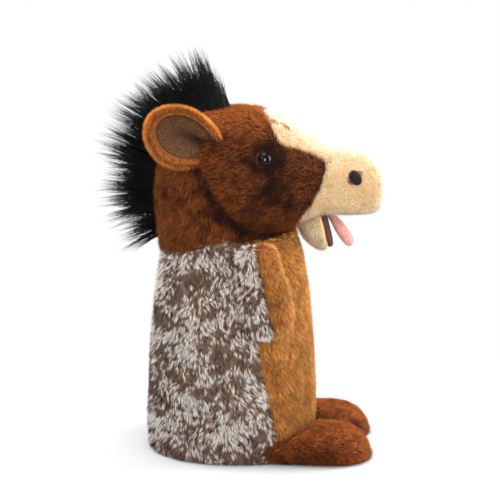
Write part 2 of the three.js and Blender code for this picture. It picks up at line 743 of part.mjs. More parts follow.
// Mane: long hair that fans out from the poll to the nape, in a strip on the head and one on the neck
const manePower = 3;
const maneThinning = 0.55;
const maneForm = along([
  [MANE_FRONT_ANGLE, MANE_ROOT + MANE_FORELOCK, MANE_TIP_THICKNESS / 2],
  [MANE_CREST_ANGLE, MANE_ROOT + MANE_CREST_HAIR, MANE_THICKNESS / 2],
  [MANE_NAPE_ANGLE, MANE_ROOT + MANE_NAPE_HAIR, MANE_THICKNESS / 2],
  [MANE_END_ANGLE, MANE_ROOT + MANE_END_HAIR, MANE_TIP_THICKNESS / 2],
]);

function mane(from, to) {
  return loft(
    steps(MANE_RINGS).map((step) => {
      const angle = from + (to - from) * step;
      const [reach, halfThick] = maneForm(angle);
      const place = (out, y) => {
        const radius = (MANE_ROOT + reach) / 2 + out;
        const thin = 1 - (maneThinning * (radius - MANE_ROOT)) / (reach - MANE_ROOT);
        const x = headMiddle.x - MANE_BACK + radius * Math.cos(turn(angle));
        return new THREE.Vector3(x, y * thin, headMiddle.z + radius * Math.sin(turn(angle)));
      };
      return section(LIMB_SIDES, (reach - MANE_ROOT) / 2, halfThick, manePower, place);
    }),
  );
}

const neckRoom = neck(SEAM_GAP);
const splitGap = 0.4;
const maneCrest = mane(MANE_FRONT_ANGLE, MANE_SPLIT_ANGLE - splitGap).subtract(neckRoom).subtract(headRoom);
addPiece("mane_crest", maneCrest, maneHair);
const maneNape = mane(MANE_SPLIT_ANGLE + splitGap, MANE_END_ANGLE).subtract(neckRoom).intersect(overSeam);
addPiece("mane_nape", maneNape, maneHair);

// Jaw: a short cup of cream cloth under a felt face, hung at the fold of the felt
const jawHinge = new THREE.Vector3(
  headMiddle.x + MOUTH_CORNER_REACH + JAW_FORWARD,
  0,
  headMiddle.z + feltTop - FELT - SEAM_GAP,
);
const jawFrame = hangingFrame(jawHinge, JAW_OPEN_ANGLE);
const jawPower = 2.4;
const jawForm = along([
  [0, JAW_ROOT_DEPTH, JAW_WIDTH / 2],
  [JAW_LENGTH / 2, JAW_MIDDLE_DEPTH, JAW_WIDTH / 2],
  [JAW_LENGTH, JAW_TIP_DEPTH, JAW_TIP_WIDTH / 2],
]);

// The jaw's form, grown all over and drawn out above its root
function jaw(grow, above = 0) {
  const places = placesTo(0, JAW_LENGTH, JAW_ROUND, JAW_RINGS, grow);
  const drawnOut = above > 0 ? [-above, ...places] : places;
  return loft(
    drawnOut.map((down) => {
      const [depth, halfWide] = jawForm(down);
      const left = rounding((down - JAW_LENGTH + JAW_ROUND) / (JAW_ROUND + grow));
      const place = (x, y) => new THREE.Vector3((depth * left - JAW_PROUD) / 2 + x, y, down);
      const halfDeep = (depth * left + JAW_PROUD) / 2 + grow;
      return section(RING_SIDES, halfDeep, (halfWide + grow) * left, jawPower, place);
    }),
    jawFrame,
  );
}

const jawLayer = (low, high) =>
  block(new THREE.Vector3(low, -FAR, -FAR), new THREE.Vector3(high, FAR, FAR), jawFrame);
const jawBoardAt = FELT + SEAM_GAP;
const thumbAt = jawBoardAt + BOARD + SEAM_GAP;
const jawInset = -JAW_PILE - SEAM_GAP;
addPiece("jaw_lining", jaw(0).intersect(jawLayer(0, FELT)), brownFelt);
const jawShell = jaw(0).subtract(jaw(-JAW_PILE, PASS)).intersect(jawLayer(jawBoardAt, FAR));
addPiece("jaw_panel", jawShell, creamPlush);
addPiece("jaw_board", jaw(jawInset).intersect(jawLayer(jawBoardAt, jawBoardAt + BOARD)), board);
const thumbRoom = jaw(jawInset - LINING, PASS).intersect(jawLayer(thumbAt + LINING, FAR));
addPiece("thumb_pocket", jaw(jawInset).intersect(jawLayer(thumbAt, FAR)).subtract(thumbRoom), liningCloth);

// Tongue: a soft flat strip with a round tip, sewn in above the fold of the felt
const tongueRoot = new THREE.Vector3(jawHinge.x + TONGUE_FORWARD, 0, jawHinge.z - TONGUE_DROP);
const tongueForm = along([
  [0, TONGUE_ROOT_THICKNESS / 2, TONGUE_WIDTH / 2],
  [TONGUE_LENGTH / 4, TONGUE_ROOT_THICKNESS / 2, TONGUE_WIDTH / 2],
  [TONGUE_LENGTH / 2, TONGUE_THICKNESS / 2, TONGUE_WIDTH / 2],
  [TONGUE_LENGTH, TONGUE_THICKNESS / 2, TONGUE_WIDTH / 2],
]);
const tongue = loft(
  placesTo(0, TONGUE_LENGTH, TONGUE_WIDTH / 2, TONGUE_RINGS).map((down) => {
    const [halfThick, halfWide] = tongueForm(down);
    const left = rounding((down - TONGUE_LENGTH + TONGUE_WIDTH / 2) / (TONGUE_WIDTH / 2));
    const place = (x, y) => new THREE.Vector3(x, y, down);
    return section(LIMB_SIDES, halfThick * Math.sqrt(left), halfWide * left, jawPower, place);
  }),
  hangingFrame(tongueRoot, TONGUE_ANGLE),
);
addPiece("tongue", tongue, pinkVelour);

// Ears: a cupped leaf of plush with a thinner leaf laid inside it, open to the side
const earAxis = new THREE.Vector3(-1, -EAR_SPLAY, EAR_LIFT).normalize();
const earSide = new THREE.Vector3(EAR_TWIST, -1, -EAR_TWIST);
const earOpening = earSide.cross(earAxis).cross(earAxis).negate().normalize();
const earAcross = new THREE.Vector3().crossVectors(earOpening, earAxis);
const earFrame = new THREE.Matrix4()
  .makeBasis(earAcross, earOpening, earAxis)
  .setPosition(headMiddle.x - EAR_BACK, headSide(-EAR_BACK, EAR_RISE), headMiddle.z + EAR_RISE);
const earForm = along([
  [-EAR_ROOT, EAR_ROOT_WIDTH / 2, EAR_CUP],
  [EAR_LENGTH / 3, EAR_WIDTH / 2, EAR_CUP],
  [EAR_LENGTH, EAR_TIP_WIDTH / 2, EAR_TIP_CUP],
]);

// One leaf of the ear, with its two faces low and high over the cup
function earLeaf(width, reach, low, high) {
  const share = width / EAR_WIDTH;
  return loft(
    placesTo(-EAR_ROOT, reach, EAR_ROUND, EAR_RINGS).map((out) => {
      const [half, cup] = earForm(out);
      const left = rounding((out - reach + EAR_ROUND) / EAR_ROUND);
      const face = (across, offset) => {
        const place = across * share * left;
        return new THREE.Vector3(half * place, offset - cup * (1 - place ** 2), out);
      };
      return Array.from({ length: LIMB_SIDES }, (_, side) => {
        const angle = (2 * Math.PI * side) / LIMB_SIDES;
        const across = Math.cos(angle);
        const edge = Math.sqrt(Math.abs(Math.sin(angle)));
        const middle = (low + high) / 2;
        return face(across, middle + Math.sign(Math.sin(angle)) * edge * (high - middle));
      });
    }),
    earFrame,
  );
}

const earRoom = head(EAR_ROOT_GAP, EAR_ROOT_GAP).add(neck(EAR_ROOT_GAP));
addPair("ear_outer", earLeaf(EAR_WIDTH, EAR_LENGTH, -EAR_PILE, 0).subtract(earRoom), caramelPlush);
const innerLow = 2 * SEAM_GAP;
const innerLeaf = earLeaf(EAR_INNER_WIDTH, EAR_INNER_LENGTH, innerLow, innerLow + EAR_LINING);
addPair("ear_inner", innerLeaf.subtract(earRoom), taupeVelour);

// Arms: stuffed paws that hang from the side seams, half in the back cloth and half in the chest cloth
const armAxis = new THREE.Vector3(ARM_LEAN, -ARM_SPLAY, -1).normalize();
const armThrough = new THREE.Vector3().crossVectors(armAxis, new THREE.Vector3(1, 0, 0)).normalize();
const armAcross = new THREE.Vector3().crossVectors(armThrough, armAxis);
const armHeight = neckSeamHeight - ARM_DROP;
const armSide = sleeveSide(ARM_REACH, armHeight) - ARM_ROOT_GAP - ARM_THICKNESS / 2;
const armFrame = new THREE.Matrix4()
  .makeBasis(armAcross, armThrough, armAxis)
  .setPosition(ARM_REACH, armSide, armHeight);
const armForm = along([
  [-ARM_CAP, ARM_SHOULDER_WIDTH / 2],
  [0, ARM_SHOULDER_WIDTH / 2],
  [ARM_LENGTH / 2, ARM_PAW_WIDTH / 2],
  [ARM_LENGTH, ARM_PAW_WIDTH / 2],
]);
const armPower = 2.2;

function arm(grow) {
  const round = ARM_PAW_WIDTH / 2;
  const top = -ARM_CAP - grow;
  const capPlaces = endShares.map((share) => share * top).reverse();
  return loft(
    [...capPlaces, ...placesTo(0, ARM_LENGTH, round, ARM_RINGS, grow)].map((down) => {
      const [half] = armForm(down);
      const left = rounding(down / top) * rounding((down - ARM_LENGTH + round) / (round + grow));
      const place = (x, y) => new THREE.Vector3(x, y, down);
      return section(LIMB_SIDES, (half + grow) * left, (ARM_THICKNESS / 2 + grow) * left, armPower, place);
    }),
    armFrame,
  );
}

const armRoom = sleeve(ARM_ROOT_GAP, -PASS, shoulderHeight);
const armHalf = (low, high) =>
  block(new THREE.Vector3(low, -FAR, -FAR), new THREE.Vector3(high, FAR, FAR), armFrame);
const armShell = arm(0).subtract(arm(-LIMB_PILE)).subtract(armRoom);
addPair("arm_back", armShell.intersect(armHalf(-FAR, -SEAM_GAP / 2)), greyPlush);
addPair("arm_front", armShell.intersect(armHalf(SEAM_GAP / 2, FAR)), caramelPlush);
addPair("arm_filling", arm(-LIMB_PILE - SEAM_GAP).subtract(armRoom), stuffing);

// Feet: stuffed slippers sewn to the hem in front, with room behind them to lift the toes a little
const footToe = BELLY_LENGTH / 2 + FOOT_PROUD;
const footHeel = footToe - FOOT_LENGTH;
const footForm = along([
  [footHeel, FOOT_HEEL_HEIGHT, FOOT_HEEL_WIDTH / 2],
  [(footHeel + footToe) / 2, FOOT_HEIGHT, FOOT_WIDTH / 2],
  [footToe, FOOT_HEIGHT, FOOT_WIDTH / 2],
]);
const footPower = 2.3;
const footLowPower = 4;

function foot(grow) {
  return loft(
    placesTo(footHeel, footToe, FOOT_ROUND, FOOT_RINGS, grow).map((x) => {
      const [height, half] = footForm(x);
      const left = rounding((x - footToe + FOOT_ROUND) / (FOOT_ROUND + grow));
      const halfHigh = (height + SOLE_FLAT) / 2;
      const place = (y, z) => new THREE.Vector3(x, y - FOOT_SPACING / 2, halfHigh * left - SOLE_FLAT + z);
      const halves = [(half + grow) * left, (halfHigh + grow) * left];
      return section(RING_SIDES, ...halves, footPower, place, footLowPower);
    }),
  );
}

const sleeveRoom = sleeve(SEAM_GAP, -PASS, shoulderHeight);
const footHinge = new THREE.Vector3(HEM_LENGTH / 2 - FOOT_HINGE_INSET, 0, 0);
const liftedFrame = new THREE.Matrix4()
  .makeTranslation(footHinge)
  .multiply(new THREE.Matrix4().makeRotationY(turn(FOOT_LIFT_ANGLE)))
  .multiply(new THREE.Matrix4().makeTranslation(footHinge.clone().negate()));
const footLevel = (low, high) =>
  block(new THREE.Vector3(-FAR, -FAR, low), new THREE.Vector3(FAR, FAR, high));

// The sleeve, and the sleeve again as a foot meets it with its toes lifted
const footRoom = sleeveRoom.add(solidOf(geometryOf(sleeveRoom).applyMatrix4(liftedFrame)));
const footShell = foot(0).subtract(foot(-LIMB_PILE)).subtract(footRoom);
addPair("foot_sole", foot(0).intersect(footLevel(0, SOLE)).subtract(footRoom), footPlush);
addPair("foot_upper", footShell.intersect(footLevel(SOLE + SEAM_GAP, FAR)), footPlush);
const footFilling = foot(-LIMB_PILE - SEAM_GAP).intersect(footLevel(SOLE + SEAM_GAP, FAR));
addPair("foot_filling", footFilling.subtract(footRoom), stuffing);

// The puppet stands with the middle of its box over the origin
const middle = new THREE.Box3().setFromObject(puppet).getCenter(new THREE.Vector3());
puppet.position.x = -middle.x;

export default puppet;
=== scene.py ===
import json
import math

import bmesh
import bpy
import numpy as np
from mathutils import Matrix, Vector, kdtree, noise
from mathutils.bvhtree import BVHTree


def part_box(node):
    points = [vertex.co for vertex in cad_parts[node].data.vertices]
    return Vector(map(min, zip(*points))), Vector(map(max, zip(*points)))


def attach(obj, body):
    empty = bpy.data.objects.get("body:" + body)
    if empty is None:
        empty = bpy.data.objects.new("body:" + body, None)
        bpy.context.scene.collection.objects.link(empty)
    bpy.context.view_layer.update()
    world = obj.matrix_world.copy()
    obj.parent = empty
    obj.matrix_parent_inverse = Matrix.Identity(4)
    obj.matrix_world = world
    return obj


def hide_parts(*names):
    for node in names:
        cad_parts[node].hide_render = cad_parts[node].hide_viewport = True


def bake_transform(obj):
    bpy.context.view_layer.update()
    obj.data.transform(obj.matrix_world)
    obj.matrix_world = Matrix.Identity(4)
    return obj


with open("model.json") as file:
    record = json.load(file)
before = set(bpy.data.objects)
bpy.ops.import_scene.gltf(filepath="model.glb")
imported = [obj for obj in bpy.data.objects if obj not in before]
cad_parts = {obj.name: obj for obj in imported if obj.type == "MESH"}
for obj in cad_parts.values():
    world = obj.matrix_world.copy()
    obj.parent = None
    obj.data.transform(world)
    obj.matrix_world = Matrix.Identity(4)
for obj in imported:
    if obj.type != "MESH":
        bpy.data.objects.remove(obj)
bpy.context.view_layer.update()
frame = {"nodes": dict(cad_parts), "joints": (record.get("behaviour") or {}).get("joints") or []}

# Sleeve: the body is an open oval tube of two pile cloths sewn together up the sides, with a woven
# lining inside. The back is long silver pile with brown tips in tufts, the chest short caramel plush.
# The hem is turned up inside, and the neck is sewn to the top.

MM = 0.001
scene = bpy.context.scene
joints = {joint["name"]: joint for joint in frame["joints"]}
neck_seam = Vector(joints["neck_turn"]["pos_m"])


def settle(piece):
    """Applies a piece's modifiers to its mesh and shades it smooth."""
    depsgraph = bpy.context.evaluated_depsgraph_get()
    piece.data = bpy.data.meshes.new_from_object(piece.evaluated_get(depsgraph))
    piece.modifiers.clear()
    piece.data.shade_smooth()


def points_of(mesh, field="co"):
    """A mesh's vertices, or their normals, as rows of three numbers."""
    values = np.empty(len(mesh.vertices) * 3)
    mesh.vertices.foreach_get(field, values)
    return values.reshape(-1, 3)


def move_points(mesh, points):
    mesh.vertices.foreach_set("co", points.ravel())
    mesh.update()


def softened(name, node, grain, rounds, swell=0.0):
    """A sewn or stuffed piece: its solid with facets and edges rounded off, as cloth rounds them."""
    piece = bpy.data.objects.new(name, frame["nodes"][node].data.copy())
    piece.data.materials.clear()
    scene.collection.objects.link(piece)
    rounding = piece.modifiers.new("rounding", "REMESH")
    rounding.mode = "VOXEL"
    rounding.voxel_size = grain
    smoothing = piece.modifiers.new("smoothing", "SMOOTH")
    smoothing.iterations = rounds
    settle(piece)
    move_points(piece.data, points_of(piece.data) + swell * points_of(piece.data, "normal"))
    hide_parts(node)
    return piece


def unit(vectors):
    return vectors / np.maximum(np.linalg.norm(vectors, axis=-1, keepdims=True), 1e-9)


def line_between(start, end):
    """Finds the nearest points of a line inside a piece, which the piece's pile grows away from."""
    start, run = np.array(start), np.array(end) - np.array(start)

    def nearest(points):
        share = np.clip((points - start) @ run / (run @ run), 0, 1)
        return start + share[:, None] * run

    return nearest


def ramp(values, start, end):
    """Goes evenly from 0 at start to 1 at end, and no further."""
    return np.clip((values - start) / (end - start), 0, 1)


def nearness(gap, reach):
    """1 where there is no gap, fading smoothly to 0 beyond the reach."""
    return np.exp(-((gap / reach) ** 2))


def blotches(points, size, offset):
    """Smooth noise from -1 to 1 with patches of one size."""
    return np.array([noise.noise(Vector(point) / size + Vector((offset, 0, 0))) for point in points])


def roots_on(skin, count, core, keep, random):
    """Places spread evenly over a skin's outer side, with the way out from the skin at each."""
    mesh = skin.data
    mesh.calc_loop_triangles()
    corners = np.empty(len(mesh.loop_triangles) * 3, int)
    mesh.loop_triangles.foreach_get("vertices", corners)
    corners = corners.reshape(-1, 3)
    points, normals = points_of(mesh), points_of(mesh, "normal")
    a, b, c = (points[corners[:, corner]] for corner in range(3))
    across = np.cross(b - a, c - a)
    area = np.linalg.norm(across, axis=1)
    middle = (a + b + c) / 3
    faces_out = (unit(across) * unit(middle - core(middle))).sum(1) > 0.1
    if keep is not None:
        faces_out &= keep(middle, unit(across))
    chance = np.where(faces_out, area, 0)
    chosen = corners[random.choice(len(area), count, p=chance / chance.sum())]
    u, v = random.random((2, count))
    folded = u + v > 1
    u[folded], v[folded] = 1 - u[folded], 1 - v[folded]
    shares = np.stack([1 - u - v, u, v], 1)[:, :, None]
    return (points[chosen] * shares).sum(1), unit((normals[chosen] * shares).sum(1))


CELL_MARGIN = 0.08


def strands_mesh(name, stations, side, widths, tone, chance):
    """A mesh of closed three-sided strands that taper to a point, each in its own colour map cell."""
    count, rings = len(stations[0]), len(stations) - 1
    angles = np.radians([90, 210, 330])
    rows = []
    for ring in range(rings):
        onward = unit(stations[ring + 1] - stations[max(ring - 1, 0)])
        over = unit(np.cross(onward, side))
        radius = (widths * (1 - (ring / rings) ** 1.5) / 2)[:, None]
        rows += [stations[ring] + radius * (math.cos(t) * side + math.sin(t) * over) for t in angles]
    rows.append(stations[-1])
    points = np.stack(rows, 1)
    each = points.shape[1]
    faces, places = [(0, 2, 1)], [((0.2, 0.02), (0.8, 0.02), (0.5, 0.08))]
    for ring in range(rings):
        low, high = ring / rings, (ring + 1) / rings
        for edge in range(3):
            near, far = 3 * ring + edge, 3 * ring + (edge + 1) % 3
            if ring + 1 < rings:
                faces += [(near, far, far + 3), (near, far + 3, near + 3)]
                places += [((0.1, low), (0.9, low), (0.9, high)), ((0.1, low), (0.9, high), (0.1, high))]
            else:
                faces.append((near, far, each - 1))
                places.append(((0.1, low), (0.9, low), (0.5, 1)))
    corners = (np.array(faces).ravel()[None] + each * np.arange(count)[:, None]).ravel()
    mesh = bpy.data.meshes.new(name)
    mesh.vertices.add(count * each)
    mesh.vertices.foreach_set("co", points.ravel())
    mesh.loops.add(len(corners))
    mesh.loops.foreach_set("vertex_index", corners)
    mesh.polygons.add(len(corners) // 3)
    mesh.polygons.foreach_set("loop_start", np.arange(0, len(corners), 3))
    along = np.append(np.repeat(np.arange(rings) / rings, 3), 1.0)
    for label, values in (
        ("along", np.tile(along, count)),
        ("tone", np.repeat(tone, each)),
        ("chance", np.repeat(chance, each)),
    ):
        mesh.attributes.new(label, "FLOAT", "POINT").data.foreach_set("value", values.astype(np.float32))
    columns = math.ceil(math.sqrt(count))
    cell = np.stack([np.arange(count) % columns, np.arange(count) // columns], 1)
    inside = CELL_MARGIN + (1 - 2 * CELL_MARGIN) * np.array(places).reshape(-1, 2)
    colour_map = (cell[:, None, :] + inside[None]) / columns
    mesh.uv_layers.new(name="OFBake").data.foreach_set("uv", colour_map.astype(np.float32).ravel())
    mesh.update(calc_edges=True)
    mesh.shade_smooth()
    return mesh


PILE_LENGTHS = (0.7, 1.12)
PILE_WIDTHS = (0.75, 1.2)
PILE_SWAY = 0.3
PILE_LIFT_SPREAD = 0.15
PILE_LIFTS = (0.1, 1.5)
PILE_TUFT_SHARE = 0.6
PILE_SUNK = 0.4 * MM
PILE_FLOOR_GAP = 0.3 * MM


def pile(
    name, skin, count, length, width, comb, lift, core, seed,
    tuft=6, gather=0.4, shade=None, keep=None, crop=None,
):
    """Pile that stands on a skin and leans the way it is combed. Strands of one tuft lean together.

    Shade gives each strand its share of fleck and painted shade, keep says which faces grow pile, and crop
    shortens it.
    """
    random = np.random.default_rng(seed)
    root, out = roots_on(skin, count, core, keep, random)
    combed = comb(root) if callable(comb) else np.tile(np.array(comb, float), (count, 1))
    lay = unit(combed - (combed * out).sum(1)[:, None] * out + 1e-6)
    sway = random.normal(0, PILE_SWAY, count)[:, None]
    lay = np.cos(sway) * lay + np.sin(sway) * np.cross(out, lay)
    leaders = random.choice(count, max(count // tuft, 1), replace=False)
    tree = kdtree.KDTree(len(leaders))
    for index, strand in enumerate(leaders):
        tree.insert(root[strand], index)
    tree.balance()
    leader = leaders[[tree.find(point)[1] for point in root]]
    lay = unit((1 - gather) * lay + gather * lay[leader])
    reach = (length * random.uniform(*PILE_LENGTHS, count))[:, None]
    if crop is not None:
        reach *= crop(root)[:, None]
    together = gather * (root[leader] - root)
    rise = np.clip(lift + random.normal(0, PILE_LIFT_SPREAD, count), *PILE_LIFTS)[:, None]
    onward = np.cos(rise) * lay + np.sin(rise) * out
    tip = root + reach * onward + together
    tip[:, 2] = np.maximum(tip[:, 2], PILE_FLOOR_GAP)
    stations = [root - PILE_SUNK * out, tip]
    side = unit(np.cross(lay, out))
    chance = random.random(count)
    tone = np.zeros(count) if shade is None else shade(root, root[leader], chance[leader])
    chance = (1 - PILE_TUFT_SHARE) * chance + PILE_TUFT_SHARE * chance[leader]
    widths = width * random.uniform(*PILE_WIDTHS, count)
    piece = bpy.data.objects.new(name, strands_mesh(name, stations, side, widths, tone, chance))
    scene.collection.objects.link(piece)
    return piece


def paint(red, green, blue):
    """A colour as the eye reads it on a screen, from 0 to 255, as a shader takes it."""
    shares = [value / 255 for value in (red, green, blue)]
    return [s / 12.92 if s <= 0.04045 else ((s + 0.055) / 1.055) ** 2.4 for s in shares] + [1.0]


def shader_group(name, inputs, outputs):
    """An empty shader node group with named sockets, and its input and output nodes."""
    group = bpy.data.node_groups.new(name, "ShaderNodeTree")
    for direction, sockets in (("INPUT", inputs), ("OUTPUT", outputs)):
        for label, kind in sockets:
            group.interface.new_socket(label, in_out=direction, socket_type=f"NodeSocket{kind}")
    return group, group.nodes.new("NodeGroupInput"), group.nodes.new("NodeGroupOutput")


def mixed(tree, factor, first, second):
    """A node that mixes two colours, each a socket, by the share that a third socket gives."""
    mix = tree.nodes.new("ShaderNodeMix")
    mix.data_type = "RGBA"
    tree.links.new(factor, mix.inputs["Factor"])
    tree.links.new(first, mix.inputs["A"])
    tree.links.new(second, mix.inputs["B"])
    return mix.outputs["Result"]


def ranged(tree, value, low, high):
    """A node that goes smoothly from 0 to 1 as a value goes from low to high."""
    step = tree.nodes.new("ShaderNodeMapRange")
    step.interpolation_type = "SMOOTHSTEP"
    step.inputs["From Min"].default_value = low
    step.inputs["From Max"].default_value = high
    tree.links.new(value, step.inputs["Value"])
    return step.outputs["Result"]


def attribute(tree, name):
    node = tree.nodes.new("ShaderNodeAttribute")
    node.attribute_name = name
    return node.outputs["Fac"]


# Pile colour: each strand mixes toward its fleck colour by its tone. The tone carries real brown ticks and
# mottling, and painted shade in creases, round the eyes and in the ears' folds.
strand_colour, taken, given = shader_group(
    "strand_colour",
    [("Root", "Color"), ("Body", "Color"), ("Tip", "Color"), ("Fleck And Shade", "Color"), ("Spread", "Float"),
     ("Fleck Root", "Float")],
    [("Colour", "Color")],
)
# Darker roots and lighter tips: partly the fibres' own colour, partly painted shade deep in the pile and
# painted light on the tips.
rising = attribute(strand_colour, "along")
body_share = ranged(strand_colour, rising, 0.0, 0.45)
lower = mixed(strand_colour, body_share, taken.outputs["Root"], taken.outputs["Body"])
tip_share = ranged(strand_colour, rising, 0.3, 0.85)
upper = mixed(strand_colour, tip_share, lower, taken.outputs["Tip"])
fleck_and_shade_share = strand_colour.nodes.new("ShaderNodeMath")
fleck_and_shade_share.operation = "MULTIPLY"
strand_colour.links.new(attribute(strand_colour, "tone"), fleck_and_shade_share.inputs[0])
fleck_and_shade_rise = ranged(strand_colour, rising, 0.0, 0.4)
strand_colour.links.new(taken.outputs["Fleck Root"], fleck_and_shade_rise.node.inputs["To Min"])
strand_colour.links.new(fleck_and_shade_rise, fleck_and_shade_share.inputs[1])
marked = mixed(strand_colour, fleck_and_shade_share.outputs[0], upper, taken.outputs["Fleck And Shade"])
lively = strand_colour.nodes.new("ShaderNodeHueSaturation")
centred = strand_colour.nodes.new("ShaderNodeMath")
centred.operation = "SUBTRACT"
centred.inputs[1].default_value = 0.5
strand_colour.links.new(attribute(strand_colour, "chance"), centred.inputs[0])
depth = strand_colour.nodes.new("ShaderNodeMath")
depth.operation = "MULTIPLY_ADD"
depth.inputs[2].default_value = 1.0
strand_colour.links.new(centred.outputs[0], depth.inputs[0])
strand_colour.links.new(taken.outputs["Spread"], depth.inputs[1])
strand_colour.links.new(depth.outputs[0], lively.inputs["Value"])
strand_colour.links.new(marked, lively.inputs["Color"])
strand_colour.links.new(lively.outputs["Color"], given.inputs["Colour"])


def pile_finish(name, root, body, tip, fleck_and_shade, spread=0.8, roughness=0.62, sheen=0.06, fleck_and_shade_root=0.75):
    """The look of pile: each strand goes from a darker root to a lighter tip, partly its own colour and
    partly painted shade and light; some take flecks or painted shade.
    """
    material = bpy.data.materials.new(name)
    material.use_nodes = True
    tree = material.node_tree
    surface = tree.nodes["Principled BSDF"]
    colour = tree.nodes.new("ShaderNodeGroup")
    colour.node_tree = strand_colour
    for label, value in (("Root", root), ("Body", body), ("Tip", tip), ("Fleck And Shade", fleck_and_shade)):
        colour.inputs[label].default_value = value
    colour.inputs["Spread"].default_value = spread
    colour.inputs["Fleck Root"].default_value = fleck_and_shade_root
    tree.links.new(colour.outputs["Colour"], surface.inputs["Base Color"])
    surface.inputs["Roughness"].default_value = roughness
    surface.inputs["Specular IOR Level"].default_value = 0.12
    surface.inputs["Sheen Weight"].default_value = sheen
    surface.inputs["Sheen Roughness"].default_value = 0.4
    surface.inputs["Sheen Tint"].default_value = tip
    return material


cloth_grain, taken, given = shader_group(
    "cloth_grain",
    [("Dark", "Color"), ("Light", "Color"), ("Scale", "Float")],
    [("Colour", "Color"), ("Height", "Float")],
)
place = cloth_grain.nodes.new("ShaderNodeTexCoord")
fibres = cloth_grain.nodes.new("ShaderNodeTexNoise")
fibres.inputs["Detail"].default_value = 6.0
fibres.inputs["Roughness"].default_value = 0.65
cloth_grain.links.new(place.outputs["Object"], fibres.inputs["Vector"])
cloth_grain.links.new(taken.outputs["Scale"], fibres.inputs["Scale"])
grain_share = ranged(cloth_grain, fibres.outputs["Fac"], 0.35, 0.65)
grain_colour = mixed(cloth_grain, grain_share, taken.outputs["Dark"], taken.outputs["Light"])
cloth_grain.links.new(grain_colour, given.inputs["Colour"])
cloth_grain.links.new(fibres.outputs["Fac"], given.inputs["Height"])


def cloth_finish(name, dark, light, scale, bump=0.4, roughness=0.9, specular=0.2, sheen=0.2):
    """The look of felt, velour, lining or the cloth under pile: mottled fibres with a soft bump.

    Boards and plastic are the same with little grain or none.
    """
    material = bpy.data.materials.new(name)
    material.use_nodes = True
    tree = material.node_tree
    surface = tree.nodes["Principled BSDF"]
    grain = tree.nodes.new("ShaderNodeGroup")
    grain.node_tree = cloth_grain
    grain.inputs["Dark"].default_value = dark
    grain.inputs["Light"].default_value = light
    grain.inputs["Scale"].default_value = scale
    relief = tree.nodes.new("ShaderNodeBump")
    relief.inputs["Strength"].default_value = bump
    relief.inputs["Distance"].default_value = 0.6 * MM
    tree.links.new(grain.outputs["Height"], relief.inputs["Height"])
    tree.links.new(relief.outputs["Normal"], surface.inputs["Normal"])
    tree.links.new(grain.outputs["Colour"], surface.inputs["Base Color"])
    surface.inputs["Roughness"].default_value = roughness
    surface.inputs["Specular IOR Level"].default_value = specular
    surface.inputs["Sheen Weight"].default_value = sheen
    surface.inputs["Sheen Tint"].default_value = light
    return material


def dress(piece, material, body):
    """Gives a piece its finish and lets it move with its body."""
    piece.data.materials.append(material)
    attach(piece, body)


silver_pile = pile_finish(
    "silver_pile", root=paint(150, 122, 98), body=paint(230, 223, 214),
    tip=paint(250, 247, 241), fleck_and_shade=paint(84, 40, 14),
    spread=0.6, sheen=0.0, fleck_and_shade_root=0.2,
)
# Each backing is darker than its pile: painted shade, for the cloth where it shows deep between the
# strands.
silver_backing = cloth_finish("silver_backing", paint(84, 60, 42), paint(146, 122, 102), scale=500)
caramel_pile = pile_finish(
    "caramel_pile", root=paint(126, 62, 16), body=paint(202, 124, 48),
    tip=paint(242, 180, 102), fleck_and_shade=paint(80, 32, 5),
)
caramel_backing = cloth_finish("caramel_backing", paint(104, 52, 14), paint(160, 90, 32), scale=600)
sleeve_core = line_between((neck_seam.x, 0, -0.1), (neck_seam.x, 0, 0.3))
SLEEVE_GRAIN = 1.8 * MM
SLEEVE_SWELL = 0.3 * MM
BROWN_SHARE = 0.58
BROWN_PULL = 0.9
BROWN_DEPTH = 0.92
SILVER_TINGE = 0.05
TICK_PATCH = 5 * MM
BAND_SIZE = 16 * MM
BAND_STRETCH = (0.65, 0.65, 1.4)
WAVE_SIZE = 15 * MM
WAVE_SWING = 1.3
ARM_PRESS_GAP = 2.2 * MM
PRESSED_LENGTH = 0.45
ARM_CREASE_SHADE = 0.4
ARM_CREASE_SHADE_REACH = 4 * MM
ARM_SPARSER = 0.3
SIDE_SEAM = 12 * MM
SEAM_REACH = 24 * MM
SEAM_FORWARD = 1.5 * MM
HEM_FORWARD = 4.5 * MM
HEM_FORWARD_TOP = 80 * MM
HEM_FLARE = 2.5 * MM
HEM_FLARE_TOP = 45 * MM
HEM_FLARE_BEHIND = (-30 * MM, -60 * MM)
NECK_SEAM_RAISE = 4.5 * MM
NECK_SEAM_REACH = 14 * MM
NECK_SEAM_RISES = (-42 * MM, -17 * MM)
NECK_SEAM_FALLS = (10 * MM, -10 * MM)


def silver_shade(root, leader, chance):
    """Brown tufts, crowded into patches and wavy bands and sparse between them."""
    patches = 0.6 * blotches(leader, TICK_PATCH, 3.0) + blotches(leader * BAND_STRETCH, BAND_SIZE, 11.0)
    brown = BROWN_DEPTH + (1 - BROWN_DEPTH) * np.sin(40 * chance)
    return np.where(chance < BROWN_SHARE + BROWN_PULL * patches, brown, SILVER_TINGE)


def ruffled(root):
    """Combed down, in the waves that long pile falls into."""
    waves = [WAVE_SWING * blotches(root, WAVE_SIZE, offset) for offset in (7.0, 17.0)]
    return np.stack([0.3 + waves[0], waves[1], -np.ones(len(root))], 1)


def mottled(base, tufts, tuft_size, patches, patch_size, offsets):
    """A shade with soft darker and lighter patches at random, by tuft and in broader patches."""

    def shade(root, leader, chance):
        by_tuft = tufts * blotches(leader, tuft_size, offsets[0])
        by_patch = patches * blotches(root, patch_size, offsets[1])
        return np.clip(base + by_tuft + by_patch, 0, 1)

    return shade


def shaded_in_crease(shade, gap, depth, reach):
    """A shade with painted shade added, darkening into the crease where other pieces come near."""

    def darker(root, leader, chance):
        return np.clip(shade(root, leader, chance) + depth * nearness(gap(root), reach), 0, 1)

    return darker


